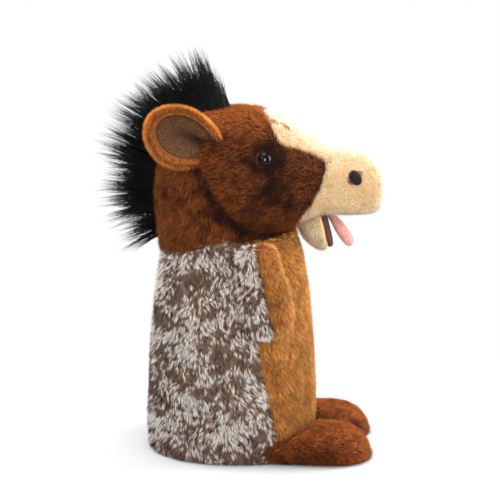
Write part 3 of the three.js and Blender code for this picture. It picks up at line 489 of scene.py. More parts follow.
def gap_to(*nodes):
    """Measures how far points are from the nearest of some pieces."""
    trees = []
    for node in nodes:
        mesh = frame["nodes"][node].data
        corners = [vertex.co for vertex in mesh.vertices]
        trees.append(BVHTree.FromPolygons(corners, [face.vertices[:] for face in mesh.polygons]))

    def measure(points):
        return np.array([min(tree.find_nearest(point)[3] for tree in trees) for point in points])

    return measure


from_arms = gap_to("arm_back_right", "arm_back_left", "arm_front_right", "arm_front_left")
from_silver = gap_to("arm_back_right", "arm_back_left")


def pressed_by_arms(root):
    """The share of its full length that the pile keeps: it is worn short where an arm lies on it."""
    return np.where(from_arms(root) > ARM_PRESS_GAP, 1.0, PRESSED_LENGTH)


def back_shade(root, leader, chance):
    """Silver with painted shade: more brown tufts in the crease round each arm."""
    return silver_shade(root, leader, chance - ARM_CREASE_SHADE * nearness(from_arms(root), ARM_CREASE_SHADE_REACH))


def arm_silver_shade(root, leader, chance):
    """The same tufts, sparser on the arms."""
    return silver_shade(root, leader, chance + ARM_SPARSER)


caramel_shade = mottled(
    base=0.18, tufts=0.4, tuft_size=7 * MM, patches=0.3, patch_size=30 * MM, offsets=(5.0, 1.0)
)
# Painted shade: the arm's caramel darkens at its seam with the silver half, and the chest darkens round
# the arms.
arm_front_shade = shaded_in_crease(caramel_shade, from_silver, depth=0.6, reach=3 * MM)
chest_shade = shaded_in_crease(caramel_shade, from_arms, depth=0.8, reach=5 * MM)


def wander(cloth):
    """Draws the side seam forward, most of all near the hem, and flares the hem behind."""
    points = points_of(cloth.data)
    low = ramp(points[:, 2], HEM_FORWARD_TOP, 0)
    eased = low * low * (3 - 2 * low)
    points[:, 0] += (SEAM_FORWARD + HEM_FORWARD * eased) * nearness(points[:, 0] - SIDE_SEAM, SEAM_REACH)
    behind = ramp(points[:, 0], *HEM_FLARE_BEHIND)
    points[:, 0] -= HEM_FLARE * behind * ramp(points[:, 2], HEM_FLARE_TOP, 0)
    move_points(cloth.data, points)
    raise_seam(cloth)


def raise_seam(cloth):
    """Lifts the seam between the sleeve and the neck in front, where the body is fuller."""
    points = points_of(cloth.data)
    from_seam = (points - np.array(neck_seam)) @ np.array(joints["neck_turn"]["axis"])
    raised = ramp(points[:, 0], *NECK_SEAM_RISES) * ramp(points[:, 0], *NECK_SEAM_FALLS)
    points[:, 2] += NECK_SEAM_RAISE * raised * nearness(from_seam, NECK_SEAM_REACH)
    move_points(cloth.data, points)


back_cloth = softened("back_cloth", "back_panel", grain=SLEEVE_GRAIN, rounds=7, swell=SLEEVE_SWELL)
wander(back_cloth)
back_pile = pile(
    "back_pile", back_cloth, count=54000, length=4.6 * MM, width=0.46 * MM,
    comb=ruffled, lift=0.52, core=sleeve_core, seed=1,
    tuft=5, gather=0.5, shade=back_shade, crop=pressed_by_arms,
)
chest_cloth = softened("chest_cloth", "chest_panel", grain=SLEEVE_GRAIN, rounds=7, swell=SLEEVE_SWELL)
wander(chest_cloth)
chest_pile = pile(
    "chest_pile", chest_cloth, count=45000, length=4.8 * MM, width=0.4 * MM,
    comb=(0.1, 0, -1), lift=0.48, core=sleeve_core, seed=2,
    shade=chest_shade, crop=pressed_by_arms,
)
dress(back_cloth, silver_backing, "torso")
dress(back_pile, silver_pile, "torso")
dress(chest_cloth, caramel_backing, "torso")
dress(chest_pile, caramel_pile, "torso")

# Arms: two small stuffed paws sewn into the side seams at the shoulder, each the silver pile behind
# and the caramel plush in front, over a core of stuffing. They swing forward at the shoulder.

stuffing = cloth_finish(
    "stuffing", paint(214, 210, 202), paint(246, 244, 238), scale=260, bump=0.8, sheen=0.3
)
LIMB_GRAIN = 1.5 * MM
ARM_LENGTH = 46 * MM
ARM_LEAN = 6 * MM
ARM_SPREAD = 8 * MM
SIDES = {"right": -1, "left": 1}
for side, sign in SIDES.items():
    shoulder = Vector(joints[f"arm_swing_{side}"]["pos_m"])
    paw = Vector((shoulder.x + ARM_LEAN, shoulder.y + sign * ARM_SPREAD, shoulder.z - ARM_LENGTH))
    down_arm = paw - shoulder
    arm_core = line_between(shoulder, paw)
    arm = f"arm_{side}"
    silver_half = softened(
        f"arm_back_cloth_{side}", f"arm_back_{side}", grain=LIMB_GRAIN, rounds=8, swell=0.6 * MM
    )
    silver_hair = pile(
        f"arm_back_pile_{side}", silver_half, count=6000, length=4.6 * MM, width=0.44 * MM,
        comb=down_arm, lift=0.5, core=arm_core, seed=3,
        tuft=7, gather=0.6, shade=arm_silver_shade,
    )
    dress(silver_half, silver_backing, arm)
    dress(silver_hair, silver_pile, arm)
    caramel_half = softened(f"arm_front_cloth_{side}", f"arm_front_{side}", grain=LIMB_GRAIN, rounds=8)
    caramel_hair = pile(
        f"arm_front_pile_{side}", caramel_half, count=7500, length=4.4 * MM, width=0.4 * MM,
        comb=down_arm, lift=0.6, core=arm_core, seed=4,
        shade=arm_front_shade,
    )
    dress(caramel_half, caramel_backing, arm)
    dress(caramel_hair, caramel_pile, arm)
    arm_filling = softened(f"arm_stuffing_{side}", f"arm_filling_{side}", grain=LIMB_GRAIN, rounds=6)
    dress(arm_filling, stuffing, arm)

# Feet: two stuffed slippers of deep brown plush sewn to the front of the hem, each an upper and a flat
# sole joined by a seam all round. They rest on the ground, and droop when the puppet is lifted.

foot_pile = pile_finish(
    "foot_pile", root=paint(28, 6, 1), body=paint(80, 28, 3),
    tip=paint(172, 90, 28), fleck_and_shade=paint(32, 8, 1),
)
FOOT_SETTLED = 0.9
FOOT_LENGTH = 46 * MM
FOOT_CORE_HEIGHT = 8 * MM
foot_backing = cloth_finish("foot_backing", paint(44, 16, 3), paint(84, 36, 8), scale=600)
brown_shade = mottled(
    base=0.3, tufts=0.6, tuft_size=6 * MM, patches=0.3, patch_size=22 * MM, offsets=(8.0, 2.0)
)
for side in SIDES:
    foot = f"foot_{side}"
    heel = Vector(joints[f"foot_flex_{side}"]["pos_m"])
    foot_core = line_between(
        (heel.x, heel.y, FOOT_CORE_HEIGHT), (heel.x + FOOT_LENGTH, heel.y, FOOT_CORE_HEIGHT)
    )
    for layer, count in (("upper", 14000), ("sole", 3500)):
        cloth = softened(f"foot_{layer}_cloth_{side}", f"foot_{layer}_{side}", grain=LIMB_GRAIN, rounds=8)
        move_points(cloth.data, points_of(cloth.data) * (1, 1, FOOT_SETTLED))
        hair = pile(
            f"foot_{layer}_pile_{side}", cloth, count=count, length=4.8 * MM, width=0.4 * MM,
            comb=(1, 0, -0.35), lift=0.55, core=foot_core, seed=5,
            shade=brown_shade,
        )
        dress(cloth, foot_backing, foot)
        dress(hair, foot_pile, foot)
    foot_filling = softened(f"foot_stuffing_{side}", f"foot_filling_{side}", grain=LIMB_GRAIN, rounds=6)
    dress(foot_filling, stuffing, foot)

# Neck: one wrap of reddish brown plush sewn to the sleeve's top and up behind the head. It has no
# stuffing of its own, so that it bends over the hand as the head nods.

head_middle = Vector(joints["head_nod"]["pos_m"])
brown_pile = pile_finish(
    "brown_pile", root=paint(30, 8, 1), body=paint(98, 38, 7),
    tip=paint(178, 101, 42), fleck_and_shade=paint(38, 11, 1),
)
brown_backing = cloth_finish("brown_backing", paint(38, 14, 3), paint(80, 35, 10), scale=600)
HEAD_GRAIN = 1.8 * MM
CHEEK_PRESS_GAP = 1.2 * MM
NECK_SEAM_GAP = 2 * MM
neck_core = line_between(
    (neck_seam.x, 0, neck_seam.z - 30 * MM), (head_middle.x - 18 * MM, 0, head_middle.z + 30 * MM)
)
from_cheek = gap_to("head_side_right", "head_side_left")


def dress_bending(piece, material):
    """Gives a piece its finish and bakes its place into its mesh, on no body of its own."""
    piece.data.materials.append(material)
    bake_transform(piece)


def clear_of_cheek(middle, facing):
    """The pile is pressed away in the crease against the cheek, and stops short of the sleeve's seam."""
    from_seam = (middle - np.array(neck_seam)) @ np.array(joints["neck_turn"]["axis"])
    return (from_cheek(middle) > CHEEK_PRESS_GAP) & (from_seam > NECK_SEAM_GAP)


# Painted shade: the neck's pile darkens into the crease under each cheek.
neck_shade = shaded_in_crease(brown_shade, from_cheek, depth=0.8, reach=6 * MM)
neck_cloth = softened("neck_cloth", "neck_panel", grain=HEAD_GRAIN, rounds=8)
raise_seam(neck_cloth)
neck_pile = pile(
    "neck_pile", neck_cloth, count=34000, length=6.4 * MM, width=0.42 * MM,
    comb=(-0.15, 0, -1), lift=0.5, core=neck_core, seed=6, shade=neck_shade,
    gather=0.5, keep=clear_of_cheek,
)
dress_bending(neck_cloth, brown_backing)
dress_bending(neck_pile, brown_pile)

# Head: two brown side pieces that meet over the poll, sewn to a cream blaze down the face and a cream
# muzzle, over stuffing. The pile lies back from the nose, with painted shade round the eyes.

head_core = line_between(
    (head_middle.x - 22 * MM, 0, head_middle.z + 4 * MM),
    (head_middle.x + 62 * MM, 0, head_middle.z - 2 * MM),
)
HEAD_COMB = (-1, 0, -0.3)
MUZZLE_COMB = (-1, 0, 0.1)
HEAD_SWELL = 0.3 * MM
EYE_CLEAR = 5.6 * MM
EYE_SHADOW = (3 * MM, 0, 1 * MM)
EYE_SHADOW_REACH = 10 * MM
EYE_SHADOW_DEPTH = 1.3
CHEEK_SHADOW = (8 * MM, 0, -20 * MM)
CHEEK_SHADOW_REACH = 20 * MM
CHEEK_SHADOW_DEPTH = 0.5
CROWN_RISES = (30 * MM, 42 * MM)
CROWN_PAINTED_LIGHT = 0.5


def middle_of(node):
    low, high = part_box(node)
    return np.array((low + high) / 2)


def distance(points, place):
    return np.linalg.norm(points - place, axis=1)


for side in SIDES:
    eye_middle = middle_of(f"eye_{side}")

    def cheek_shade(root, leader, chance):
        """Brown with painted shade round and below the eye, and painted light over the crown."""
        near_eye = nearness(distance(root, eye_middle + EYE_SHADOW), EYE_SHADOW_REACH)
        below_eye = nearness(distance(root, eye_middle + CHEEK_SHADOW), CHEEK_SHADOW_REACH)
        crown = ramp(root[:, 2] - head_middle.z, *CROWN_RISES)
        darker = EYE_SHADOW_DEPTH * near_eye + CHEEK_SHADOW_DEPTH * below_eye - CROWN_PAINTED_LIGHT * crown
        return np.clip(brown_shade(root, leader, chance) + darker, 0, 1)

    def clear_of_eye(middle, facing):
        return distance(middle, eye_middle) > EYE_CLEAR

    side_cloth = softened(
        f"head_side_cloth_{side}", f"head_side_{side}", grain=HEAD_GRAIN, rounds=10, swell=HEAD_SWELL
    )
    side_pile = pile(
        f"head_side_pile_{side}", side_cloth, count=26000, length=5.4 * MM, width=0.4 * MM,
        comb=HEAD_COMB, lift=0.48, core=head_core, seed=7,
        shade=cheek_shade, gather=0.5, keep=clear_of_eye,
    )
    dress(side_cloth, brown_backing, "head")
    dress(side_pile, brown_pile, "head")

cream_pile = pile_finish(
    "cream_pile", root=paint(212, 178, 130), body=paint(242, 219, 178),
    tip=paint(251, 238, 212), fleck_and_shade=paint(216, 178, 126),
    spread=0.4,
)
cream_backing = cloth_finish("cream_backing", paint(206, 170, 118), paint(232, 202, 154), scale=700)
cream_shade = mottled(
    base=0.2, tufts=0.5, tuft_size=5 * MM, patches=0.25, patch_size=20 * MM, offsets=(4.0, 6.0)
)
NOSTRIL_REACH = 4.8 * MM
NOSTRIL_CLEAR = 0.84
NOSTRIL_SHADOW_RING = (0.8, 1.3)
LIP_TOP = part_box("palate_lining")[1][2] + 4 * MM
TICK_PLACES = ((4 * MM, 15 * MM), (10 * MM, 17 * MM), (18 * MM, 15.5 * MM))
TICK_HALF_LENGTH = 3.5 * MM
TICK_HALF_WIDTH = 1.6 * MM


def clear_of_nostrils(middle, facing):
    gaps = [distance(middle, middle_of(f"nostril_{side}")) for side in SIDES]
    return np.min(gaps, axis=0) > NOSTRIL_CLEAR * NOSTRIL_REACH


for panel, count in (("blaze_panel", 14000), ("muzzle_panel", 24000)):
    cloth = softened(panel.replace("panel", "cloth"), panel, grain=HEAD_GRAIN, rounds=8, swell=HEAD_SWELL)
    hair = pile(
        panel.replace("panel", "pile"), cloth, count=count, length=3 * MM, width=0.32 * MM,
        comb=MUZZLE_COMB, lift=1.05, core=head_core, seed=8,
        tuft=3, gather=0.15, shade=cream_shade, keep=clear_of_nostrils,
    )
    dress(cloth, cream_backing, "head")
    dress(hair, cream_pile, "head")
    if panel == "blaze_panel":

        def brow(middle, facing):
            """Where a few brown hairs tick the top of the blaze."""
            near = np.zeros(len(middle), bool)
            for ahead, aside in TICK_PLACES:
                along = (middle[:, 0] - head_middle.x - ahead) / TICK_HALF_LENGTH
                across = (np.abs(middle[:, 1]) - aside) / TICK_HALF_WIDTH
                near |= along**2 + across**2 < 1
            return near

        ticks = pile(
            "blaze_ticks", cloth, count=420, length=4.4 * MM, width=0.4 * MM,
            comb=MUZZLE_COMB, lift=0.8, core=head_core, seed=13, keep=brow,
        )
        dress(ticks, brown_pile, "head")
    else:

        def nostril_shadow_edge(middle, facing):
            """Where brown fuzz edges the upper back of each nostril, as a painted shadow in its hollow."""
            near = np.zeros(len(middle), bool)
            for side in SIDES:
                off = middle - middle_of(f"nostril_{side}")
                reach = np.linalg.norm(off, axis=1) / NOSTRIL_REACH
                upper_back = off[:, 2] - off[:, 0] > -1 * MM
                near |= (reach > NOSTRIL_SHADOW_RING[0]) & (reach < NOSTRIL_SHADOW_RING[1]) & upper_back
            return near

        nostril_shadow_hair = pile(
            "nostril_shadow_fuzz", cloth, count=800, length=3.4 * MM, width=0.34 * MM,
            comb=(1, 0, -0.8), lift=0.6, core=head_core, seed=14, keep=nostril_shadow_edge,
        )
        dress(nostril_shadow_hair, brown_pile, "head")

        def lip(middle, facing):
            """The lower edge of the muzzle, where the pile hangs over the roof of the mouth."""
            return middle[:, 2] < LIP_TOP

        fringe = pile(
            "muzzle_lip_pile", cloth, count=5000, length=4.2 * MM, width=0.34 * MM,
            comb=(-0.2, 0, -1), lift=0.45, core=head_core, seed=15,
            tuft=3, gather=0.15, shade=cream_shade, keep=lip,
        )
        dress(fringe, cream_pile, "head")

# Nostrils: two ovals of black felt let into the front of the muzzle, one on each side. They lie in
# hollows like thumb marks, and the pile stops at their edges.

black_felt = cloth_finish("black_felt", paint(8, 5, 4), paint(26, 17, 13), scale=900, bump=0.6)
for side in SIDES:
    oval = softened(f"nostril_felt_{side}", f"nostril_{side}", grain=0.6 * MM, rounds=4, swell=0.7 * MM)
    dress(oval, black_felt, "head")

# Eyes: glossy black plastic caps on shanks that go through the cloth. Each is held inside by a white
# plastic washer pressed onto its shank.

black_gloss = cloth_finish(
    "black_gloss", paint(6, 6, 6), paint(12, 11, 10), scale=200,
    bump=0.0, roughness=0.06, specular=0.12, sheen=0.0,
)
white_plastic = cloth_finish(
    "white_plastic", paint(222, 222, 218), paint(234, 234, 230), scale=300,
    bump=0.1, roughness=0.45, sheen=0.0,
)


def refinish(node, material):
    """Gives a solid that stays as it was modelled its finish."""
    mesh = frame["nodes"][node].data
    mesh.materials.clear()
    mesh.materials.append(material)


for side in SIDES:
    cap = softened(f"eye_cap_{side}", f"eye_{side}", grain=0.35 * MM, rounds=14)
    dress(cap, black_gloss, "head")
    refinish(f"eye_washer_{side}", white_plastic)

# Mouth: a roof and a floor of brown felt, each with a thin board behind it, so that the hand inside
# opens and shuts them. The jaw is a cup of cream plush, and the thumb has a pocket in it.

brown_felt = cloth_finish("brown_felt", paint(62, 32, 26), paint(104, 62, 52), scale=900, bump=0.5)
mouth_board = cloth_finish(
    "mouth_board", paint(186, 174, 150), paint(206, 196, 174), scale=400,
    bump=0.1, roughness=0.6, sheen=0.0,
)
woven_lining = cloth_finish("woven_lining", paint(96, 90, 84), paint(136, 130, 122), scale=1200, bump=0.5)
jaw_hinge = Vector(joints["jaw_hinge"]["pos_m"])
jaw_core = line_between(
    (jaw_hinge.x - 6 * MM, 0, jaw_hinge.z), (jaw_hinge.x - 1 * MM, 0, jaw_hinge.z - 18 * MM)
)
FELT_GRAIN = 0.7 * MM
FELT_GAP = 2 * MM
mouth_roof = softened("mouth_roof", "palate_lining", grain=FELT_GRAIN, rounds=3)
dress(mouth_roof, brown_felt, "head")
mouth_floor = softened("mouth_floor", "jaw_lining", grain=FELT_GRAIN, rounds=3, swell=1.2 * MM)
dress(mouth_floor, brown_felt, "jaw")
from_felt = gap_to("jaw_lining")


def clear_of_felt(middle, facing):
    return from_felt(middle) > FELT_GAP


jaw_cloth = softened("jaw_cloth", "jaw_panel", grain=1.1 * MM, rounds=6, swell=0.8 * MM)
jaw_pile = pile(
    "jaw_pile", jaw_cloth, count=7000, length=4.4 * MM, width=0.36 * MM,
    comb=(-0.4, 0, -1), lift=0.85, core=jaw_core, seed=9, shade=cream_shade,
    keep=clear_of_felt,
)
dress(jaw_cloth, cream_backing, "jaw")
dress(jaw_pile, cream_pile, "jaw")
for node in ("palate_board", "jaw_board"):
    refinish(node, mouth_board)
for node, body, grain in (
    ("finger_pocket", "head", 0.8 * MM),
    ("thumb_pocket", "jaw", 0.7 * MM),
    ("sleeve_lining", "torso", 0.9 * MM),
):
    lining = softened(f"{node}_cloth", node, grain=grain, rounds=3)
    dress(lining, woven_lining, body)
neck_lining = softened("neck_lining_cloth", "neck_lining", grain=0.9 * MM, rounds=3)
dress_bending(neck_lining, woven_lining)

# Tongue: a soft strip of pink velour folded lengthwise and sewn in at the back of the mouth. The fold
# leaves a groove down its middle.

pink_velour = cloth_finish("pink_velour", paint(190, 120, 110), paint(226, 168, 156), scale=900, bump=0.5)
GROOVE_DEPTH = 0.9 * MM
GROOVE_REACH = 1.3 * MM
tongue = softened("tongue_strip", "tongue", grain=0.6 * MM, rounds=4, swell=1.7 * MM)
tongue_points = points_of(tongue.data)
groove = GROOVE_DEPTH * nearness(tongue_points[:, 1], GROOVE_REACH)[:, None]
move_points(tongue.data, tongue_points - groove * points_of(tongue.data, "normal"))
dress(tongue, pink_velour, "tongue_body")

# Ears: each is a cupped leaf of caramel plush that shows as a rolled rim round a leaf of taupe velour.
# The two leaves are folded together where they are sewn into the side of the head.

rim_pile = pile_finish(
    "rim_pile", root=paint(96, 42, 8), body=paint(176, 94, 28),
    tip=paint(216, 136, 60), fleck_and_shade=paint(96, 44, 11),
)
taupe_velour = cloth_finish(
    "taupe_velour", paint(58, 34, 17), paint(104, 68, 40), scale=1200, bump=0.5, sheen=0.1
)
# The nap's fleck colour is mostly painted shade, in the fold and under the rolled rim, with a little
# mottling.
taupe_nap = pile_finish(
    "taupe_nap", root=paint(54, 30, 14), body=paint(110, 72, 42),
    tip=paint(160, 120, 82), fleck_and_shade=paint(26, 12, 4),
)
EAR_HALF_LENGTH = 26 * MM
EAR_HALF_WIDTH = 20.5 * MM
EAR_CUP = 10 * MM
EAR_ROLL = 3 * MM
EAR_FOLD = 8 * MM
EAR_FOLD_REACH = 4.5 * MM
EAR_AXIS = (-0.80, 0.34, 0.50)
EAR_ACROSS = (0.55, 0.2, 0.8)
EAR_MIDDLE_REACH = 17.5 * MM
VELOUR_SET_BACK = 2.5 * MM
VELOUR_HALF_LENGTH = EAR_HALF_LENGTH - 3 * MM
VELOUR_HALF_WIDTH = EAR_HALF_WIDTH - 5 * MM
VELOUR_SEAT = 0.4 * MM
VELOUR_FULLNESS = 1.2 * MM


def leaf(name, side, set_back, half_length, half_width, front, back):
    """A cupped round leaf of cloth with a front and a back face, set into one side of the head."""
    sign = SIDES[side]
    root = np.array(joints[f"ear_flop_{side}"]["pos_m"]) * (1, sign, 1)
    axis = unit(np.array(EAR_AXIS))
    across = np.array(EAR_ACROSS)
    across = unit(across - (across @ axis) * axis)
    opening = np.cross(axis, across)
    middle = root + EAR_MIDDLE_REACH * axis
    rings, spokes = 18, 56
    share = np.repeat(np.arange(1, rings + 1) / rings, spokes)
    angle = np.tile(2 * math.pi * np.arange(spokes) / spokes, rings)
    share, angle = np.append(share, 0), np.append(angle, 0)
    out = share * np.cos(angle) * half_length - set_back
    wide = share * np.sin(angle) * half_width
    towards_root = np.clip(0.3 - out / EAR_HALF_LENGTH, 0, 1)
    cup = EAR_CUP * ((wide / EAR_HALF_WIDTH) ** 2 + 0.4 * np.clip(out / EAR_HALF_LENGTH, 0, 1) ** 2)
    crease = EAR_FOLD * nearness(wide, EAR_FOLD_REACH) * towards_root
    wide = wide * (1 - 0.15 * towards_root)
    flat = middle + out[:, None] * axis + wide[:, None] * across
    standing = np.clip(1.4 + 1.6 * out / EAR_HALF_LENGTH, 0, 1)
    heights = [front(share, standing), back(share)]
    faces_of = [flat + (cup - crease + height)[:, None] * opening for height in heights]
    points = np.concatenate(faces_of) * (1, sign, 1)
    each = len(share)
    faces = []
    for face in range(2):
        for spoke in range(spokes):
            onward = (spoke + 1) % spokes
            ends = [(each - 1, spoke, onward)]
            for ring in range(rings - 1):
                inner, outer = ring * spokes, (ring + 1) * spokes
                ends.append((inner + spoke, outer + spoke, outer + onward, inner + onward))
            for corners in ends:
                corners = corners if face == (sign < 0) else corners[::-1]
                faces.append([corner + face * each for corner in corners])
    mesh = bpy.data.meshes.new(name)
    mesh.from_pydata(points.tolist(), [], faces)
    sewn = bmesh.new()
    sewn.from_mesh(mesh)
    bmesh.ops.remove_doubles(sewn, verts=sewn.verts, dist=0.01 * MM)
    bmesh.ops.recalc_face_normals(sewn, faces=sewn.faces)
    sewn.to_mesh(mesh)
    sewn.free()
    mesh.shade_smooth()
    piece = bpy.data.objects.new(name, mesh)
    scene.collection.objects.link(piece)
    return piece, [vector * (1, sign, 1) for vector in (middle, axis, across, opening)]


def rolled_front(share, standing):
    return EAR_ROLL * standing * np.sqrt(np.clip(1 - ((share - 0.87) / 0.13) ** 2, 0, 1))


def rolled_back(share):
    return -0.9 * EAR_ROLL * np.sqrt(1 - share**6)


def velour_front(share, standing):
    return VELOUR_SEAT + VELOUR_FULLNESS * np.sqrt(1 - share**4)


def velour_back(share):
    return VELOUR_SEAT * share**4


for side in SIDES:
    ear = f"ear_{side}"
    rim, (ear_middle, axis, across, opening) = leaf(
        f"ear_leaf_{side}", side, set_back=0.0, half_length=EAR_HALF_LENGTH,
        half_width=EAR_HALF_WIDTH, front=rolled_front, back=rolled_back,
    )
    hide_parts(f"ear_outer_{side}")

    def on_rim(middle, facing):
        """The back of the leaf, and the rolled edge all round but where it enters the head."""
        out, wide = (middle - ear_middle) @ axis, (middle - ear_middle) @ across
        ring = np.hypot(out / EAR_HALF_LENGTH, wide / EAR_HALF_WIDTH)
        return (facing @ opening < 0.1) | ((ring > 0.76) & (out > -0.6 * EAR_HALF_LENGTH))

    def velour_side(middle, facing):
        return facing @ opening > 0.2

    def velour_shade(root, leader, chance):
        """Taupe with painted shade in the fold and under the rolled edge, over a little mottling."""
        out, wide = (root - ear_middle) @ axis, (root - ear_middle) @ across
        fold = nearness(wide, 4 * MM) * np.clip(0.5 - out / EAR_HALF_LENGTH, 0, 1)
        edge = ramp(np.hypot(out / EAR_HALF_LENGTH, wide / EAR_HALF_WIDTH), 0.62, 0.74)
        return np.clip(0.3 * brown_shade(root, leader, chance) + fold + 0.6 * edge, 0, 1)

    rim_hair = pile(
        f"ear_leaf_pile_{side}", rim, count=19000, length=3.8 * MM, width=0.36 * MM,
        comb=lambda root: root - ear_middle, lift=1.25,
        core=line_between(ear_middle, ear_middle + 0.1 * MM * opening), seed=10,
        tuft=4, gather=0.35, shade=caramel_shade, keep=on_rim,
    )
    dress(rim, caramel_backing, ear)
    dress(rim_hair, rim_pile, ear)
    velour, _ = leaf(
        f"ear_velour_{side}", side, set_back=VELOUR_SET_BACK, half_length=VELOUR_HALF_LENGTH,
        half_width=VELOUR_HALF_WIDTH, front=velour_front, back=velour_back,
    )
    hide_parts(f"ear_inner_{side}")
    behind = ear_middle - 80 * MM * opening
    nap = pile(
        f"ear_velour_nap_{side}", velour, count=7000, length=2 * MM, width=0.4 * MM, comb=axis, lift=0.5,
        core=line_between(behind, behind + 0.1 * MM * opening), seed=16,
        tuft=4, gather=0.3, shade=velour_shade, keep=velour_side,
    )
    dress(velour, taupe_velour, ear)
    dress(nap, taupe_nap, ear)

# Mane: long glossy black hair sewn in along a strip from the poll down the nape. It stands out in
# tufts that fan apart towards their tips, and the part on the neck bends with the neck.

mane_hair = pile_finish(
    "mane_hair", root=paint(3, 3, 3), body=paint(5, 5, 5),
    tip=paint(12, 10, 10), fleck_and_shade=paint(4, 4, 4),
    spread=0.5, roughness=0.4, sheen=0.0,
)
MANE_CENTRE = np.array((head_middle.x - 24 * MM, 0, head_middle.z))
MANE_ROOT = 34 * MM
MANE_HAIR = 51 * MM
HAIRS_PER_TUFT = 28
TUFT_LENGTHS = (0.66, 1.16)
SHORT_HAIRS = 0.3
MANE_HALF_WIDTH = 10 * MM
MANE_EDGE = 13 * MM
POLL_ANGLE = 85
POLL_SWEEP = 25
NAPE_ANGLE = 215
NAPE_SWEEP = -20


def upright(angle):
    """The way outward at an angle in the puppet's middle plane, from the front up and over to the back."""
    return np.stack([np.cos(angle), np.zeros(len(angle)), np.sin(angle)], 1)


def mane(name, node, start, end, tufts, seed):
    """Hair rooted along an arc round the back of the head, drawn together into pointed tufts."""
    random = np.random.default_rng(seed)
    angle = np.radians(np.linspace(start, end, tufts) + random.normal(0, 1.5, tufts))
    down_nape = (np.degrees(angle) - POLL_ANGLE) / (NAPE_ANGLE - POLL_ANGLE)
    swept = np.radians(POLL_SWEEP + (NAPE_SWEEP - POLL_SWEEP) * down_nape) + random.normal(0, 0.13, tufts)
    across = random.uniform(-MANE_HALF_WIDTH, MANE_HALF_WIDTH, tufts)
    reach = MANE_HAIR * random.uniform(*TUFT_LENGTHS, tufts)
    tuft = np.repeat(np.arange(tufts), HAIRS_PER_TUFT)
    count = len(tuft)
    root = MANE_CENTRE + MANE_ROOT * upright(angle[tuft] + random.normal(0, 0.07, count))
    root[:, 1] += np.clip(across[tuft] + random.normal(0, 3, count) * MM, -MANE_EDGE, MANE_EDGE)
    short = random.random(count) < SHORT_HAIRS
    share = np.where(short, random.uniform(0.35, 0.7, count), random.uniform(0.7, 1.05, count))
    middle = MANE_CENTRE + MANE_ROOT * upright(angle[tuft])
    tip = middle + (reach[tuft] * share)[:, None] * upright((angle + swept)[tuft])
    tip[:, 1] += 0.5 * across[tuft]
    tip += random.normal(0, 0.9, (count, 3)) * MM
    bow = (1.5 * MM * random.normal(0.6, 0.5, count))[:, None] * upright(angle[tuft])
    stations = [root + (tip - root) * along + bow * 4 * along * (1 - along) for along in (0, 0.35, 0.7, 1)]
    sideways = unit(np.cross(tip - root, (0, 1, 0)))
    widths = 0.6 * MM * random.uniform(0.7, 1.2, count)
    mesh = strands_mesh(name, stations, sideways, widths, np.zeros(count), random.random(count))
    piece = bpy.data.objects.new(name, mesh)
    scene.collection.objects.link(piece)
    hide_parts(node)
    return piece


crest_hair = mane("mane_crest_hair", "mane_crest", start=83, end=128, tufts=150, seed=11)
dress(crest_hair, mane_hair, "head")
nape_hair = mane("mane_nape_hair", "mane_nape", start=118, end=229, tufts=290, seed=12)
dress_bending(nape_hair, mane_hair)

# Stuffing: loose polyester fibre packed round the finger pocket inside the head. It fills the crown,
# the two cheeks and the muzzle, and only the sewn cloth holds it.

for node in ("crown_filling", "cheek_filling_right", "cheek_filling_left", "muzzle_filling"):
    filling = softened(node.replace("filling", "stuffing"), node, grain=2 * MM, rounds=6)
    dress(filling, stuffing, "head")

# Studio: a plain pale floor that turns white away from the puppet, in a white surround. Broad soft
# lamps stand in front, at both sides and above, and the camera looks down a little.

scene.view_settings.view_transform = "Standard"
FLOOR_SIZE = 12.0
FLOOR_COLOUR = (0.56, 0.56, 0.57, 1)
FLOOR_WHITENS = (0.13, 0.34)
SURROUND_FILL = 0.38
floor_mesh = bpy.data.meshes.new("floor")
half = FLOOR_SIZE / 2
floor_corners = [(-half, -half, 0), (half, -half, 0), (half, half, 0), (-half, half, 0)]
floor_mesh.from_pydata(floor_corners, [], [(0, 1, 2, 3)])
floor = bpy.data.objects.new("floor", floor_mesh)
scene.collection.objects.link(floor)
pale_floor = bpy.data.materials.new("pale_floor")
pale_floor.use_nodes = True
floor_tree = pale_floor.node_tree
floor_surface = floor_tree.nodes["Principled BSDF"]
floor_surface.inputs["Base Color"].default_value = FLOOR_COLOUR
floor_surface.inputs["Roughness"].default_value = 0.9
floor_surface.inputs["Specular IOR Level"].default_value = 0.1
floor_mesh.materials.append(pale_floor)
white_far = floor_tree.nodes.new("ShaderNodeEmission")
far_mix = floor_tree.nodes.new("ShaderNodeMixShader")
floor_place = floor_tree.nodes.new("ShaderNodeTexCoord")
from_middle = floor_tree.nodes.new("ShaderNodeVectorMath")
from_middle.operation = "LENGTH"
floor_tree.links.new(floor_place.outputs["Object"], from_middle.inputs[0])
far_share = ranged(floor_tree, from_middle.outputs["Value"], *FLOOR_WHITENS)
rays = floor_tree.nodes.new("ShaderNodeLightPath")
seen_far = floor_tree.nodes.new("ShaderNodeMath")
seen_far.operation = "MULTIPLY"
floor_tree.links.new(far_share, seen_far.inputs[0])
floor_tree.links.new(rays.outputs["Is Camera Ray"], seen_far.inputs[1])
floor_tree.links.new(seen_far.outputs[0], far_mix.inputs["Fac"])
floor_tree.links.new(floor_surface.outputs["BSDF"], far_mix.inputs[1])
floor_tree.links.new(white_far.outputs["Emission"], far_mix.inputs[2])
floor_tree.links.new(far_mix.outputs["Shader"], floor_tree.nodes["Material Output"].inputs["Surface"])

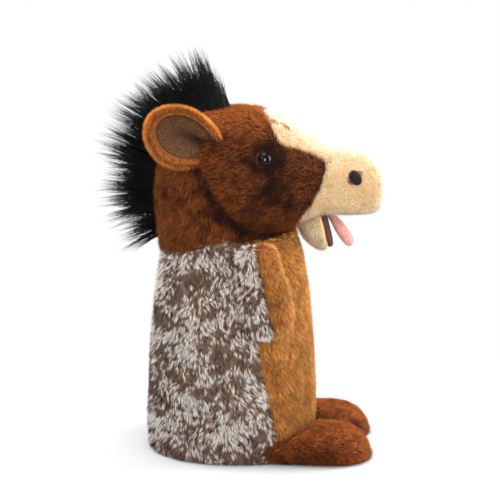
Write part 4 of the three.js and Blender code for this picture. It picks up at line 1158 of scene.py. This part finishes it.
world = bpy.data.worlds.new("studio")
scene.world = world
world.use_nodes = True
sky_tree = world.node_tree
sky = sky_tree.nodes["Background"]
sky.inputs["Color"].default_value = (1, 1, 1, 1)
sky_rays = sky_tree.nodes.new("ShaderNodeLightPath")
sky_seen = sky_tree.nodes.new("ShaderNodeMath")
sky_seen.operation = "MAXIMUM"
sky_tree.links.new(sky_rays.outputs["Is Camera Ray"], sky_seen.inputs[0])
sky_tree.links.new(sky_rays.outputs["Is Transmission Ray"], sky_seen.inputs[1])
sky_strength = sky_tree.nodes.new("ShaderNodeMapRange")
sky_strength.inputs["To Min"].default_value = SURROUND_FILL
sky_strength.inputs["To Max"].default_value = 1.0
sky_tree.links.new(sky_seen.outputs[0], sky_strength.inputs["Value"])
sky_tree.links.new(sky_strength.outputs["Result"], sky.inputs["Strength"])


def softbox(name, place, aim, size, power):
    """A broad lamp that faces the puppet."""
    light = bpy.data.lights.new(name, "AREA")
    light.shape = "RECTANGLE"
    light.size, light.size_y = size
    light.energy = power
    lamp = bpy.data.objects.new(name, light)
    lamp.location = place
    lamp.visible_camera = False
    lamp.rotation_euler = (Vector(aim) - Vector(place)).to_track_quat("-Z", "Y").to_euler()
    scene.collection.objects.link(lamp)
    return lamp


MIDDLE = (0, 0, 0.14)
softbox("key_lamp", (-0.45, -1.0, 1.0), MIDDLE, (0.7, 0.7), 10)
softbox("front_lamp", (0.3, -0.74, 0.42), MIDDLE, (0.5, 0.5), 3.6)
window_lamp = softbox("window_lamp", (0.24, -0.74, 0.38), MIDDLE, (0.2, 0.36), 9)
window_lamp.visible_diffuse = False
softbox("left_lamp", (-1.0, 0.35, 0.55), MIDDLE, (0.6, 0.9), 12)
softbox("right_lamp", (1.0, 0.25, 0.5), MIDDLE, (0.6, 0.9), 18)
softbox("top_lamp", (0, 0.1, 1.2), MIDDLE, (0.9, 0.9), 14)

CAMERA_TURN = math.radians(3)
CAMERA_REACH = 1030.7 * MM
CAMERA_HEIGHT = 340 * MM
camera_aim = Vector((2.87 * MM, 0, 139 * MM))
camera_data = bpy.data.cameras.new("camera")
camera_data.sensor_width = 36
camera_data.lens = 109
camera = bpy.data.objects.new("camera", camera_data)
camera.location = (
    camera_aim.x + CAMERA_REACH * math.sin(CAMERA_TURN),
    -CAMERA_REACH * math.cos(CAMERA_TURN),
    CAMERA_HEIGHT,
)
camera.rotation_euler = (camera_aim - camera.location).to_track_quat("-Z", "Y").to_euler()
scene.collection.objects.link(camera)
scene.camera = camera
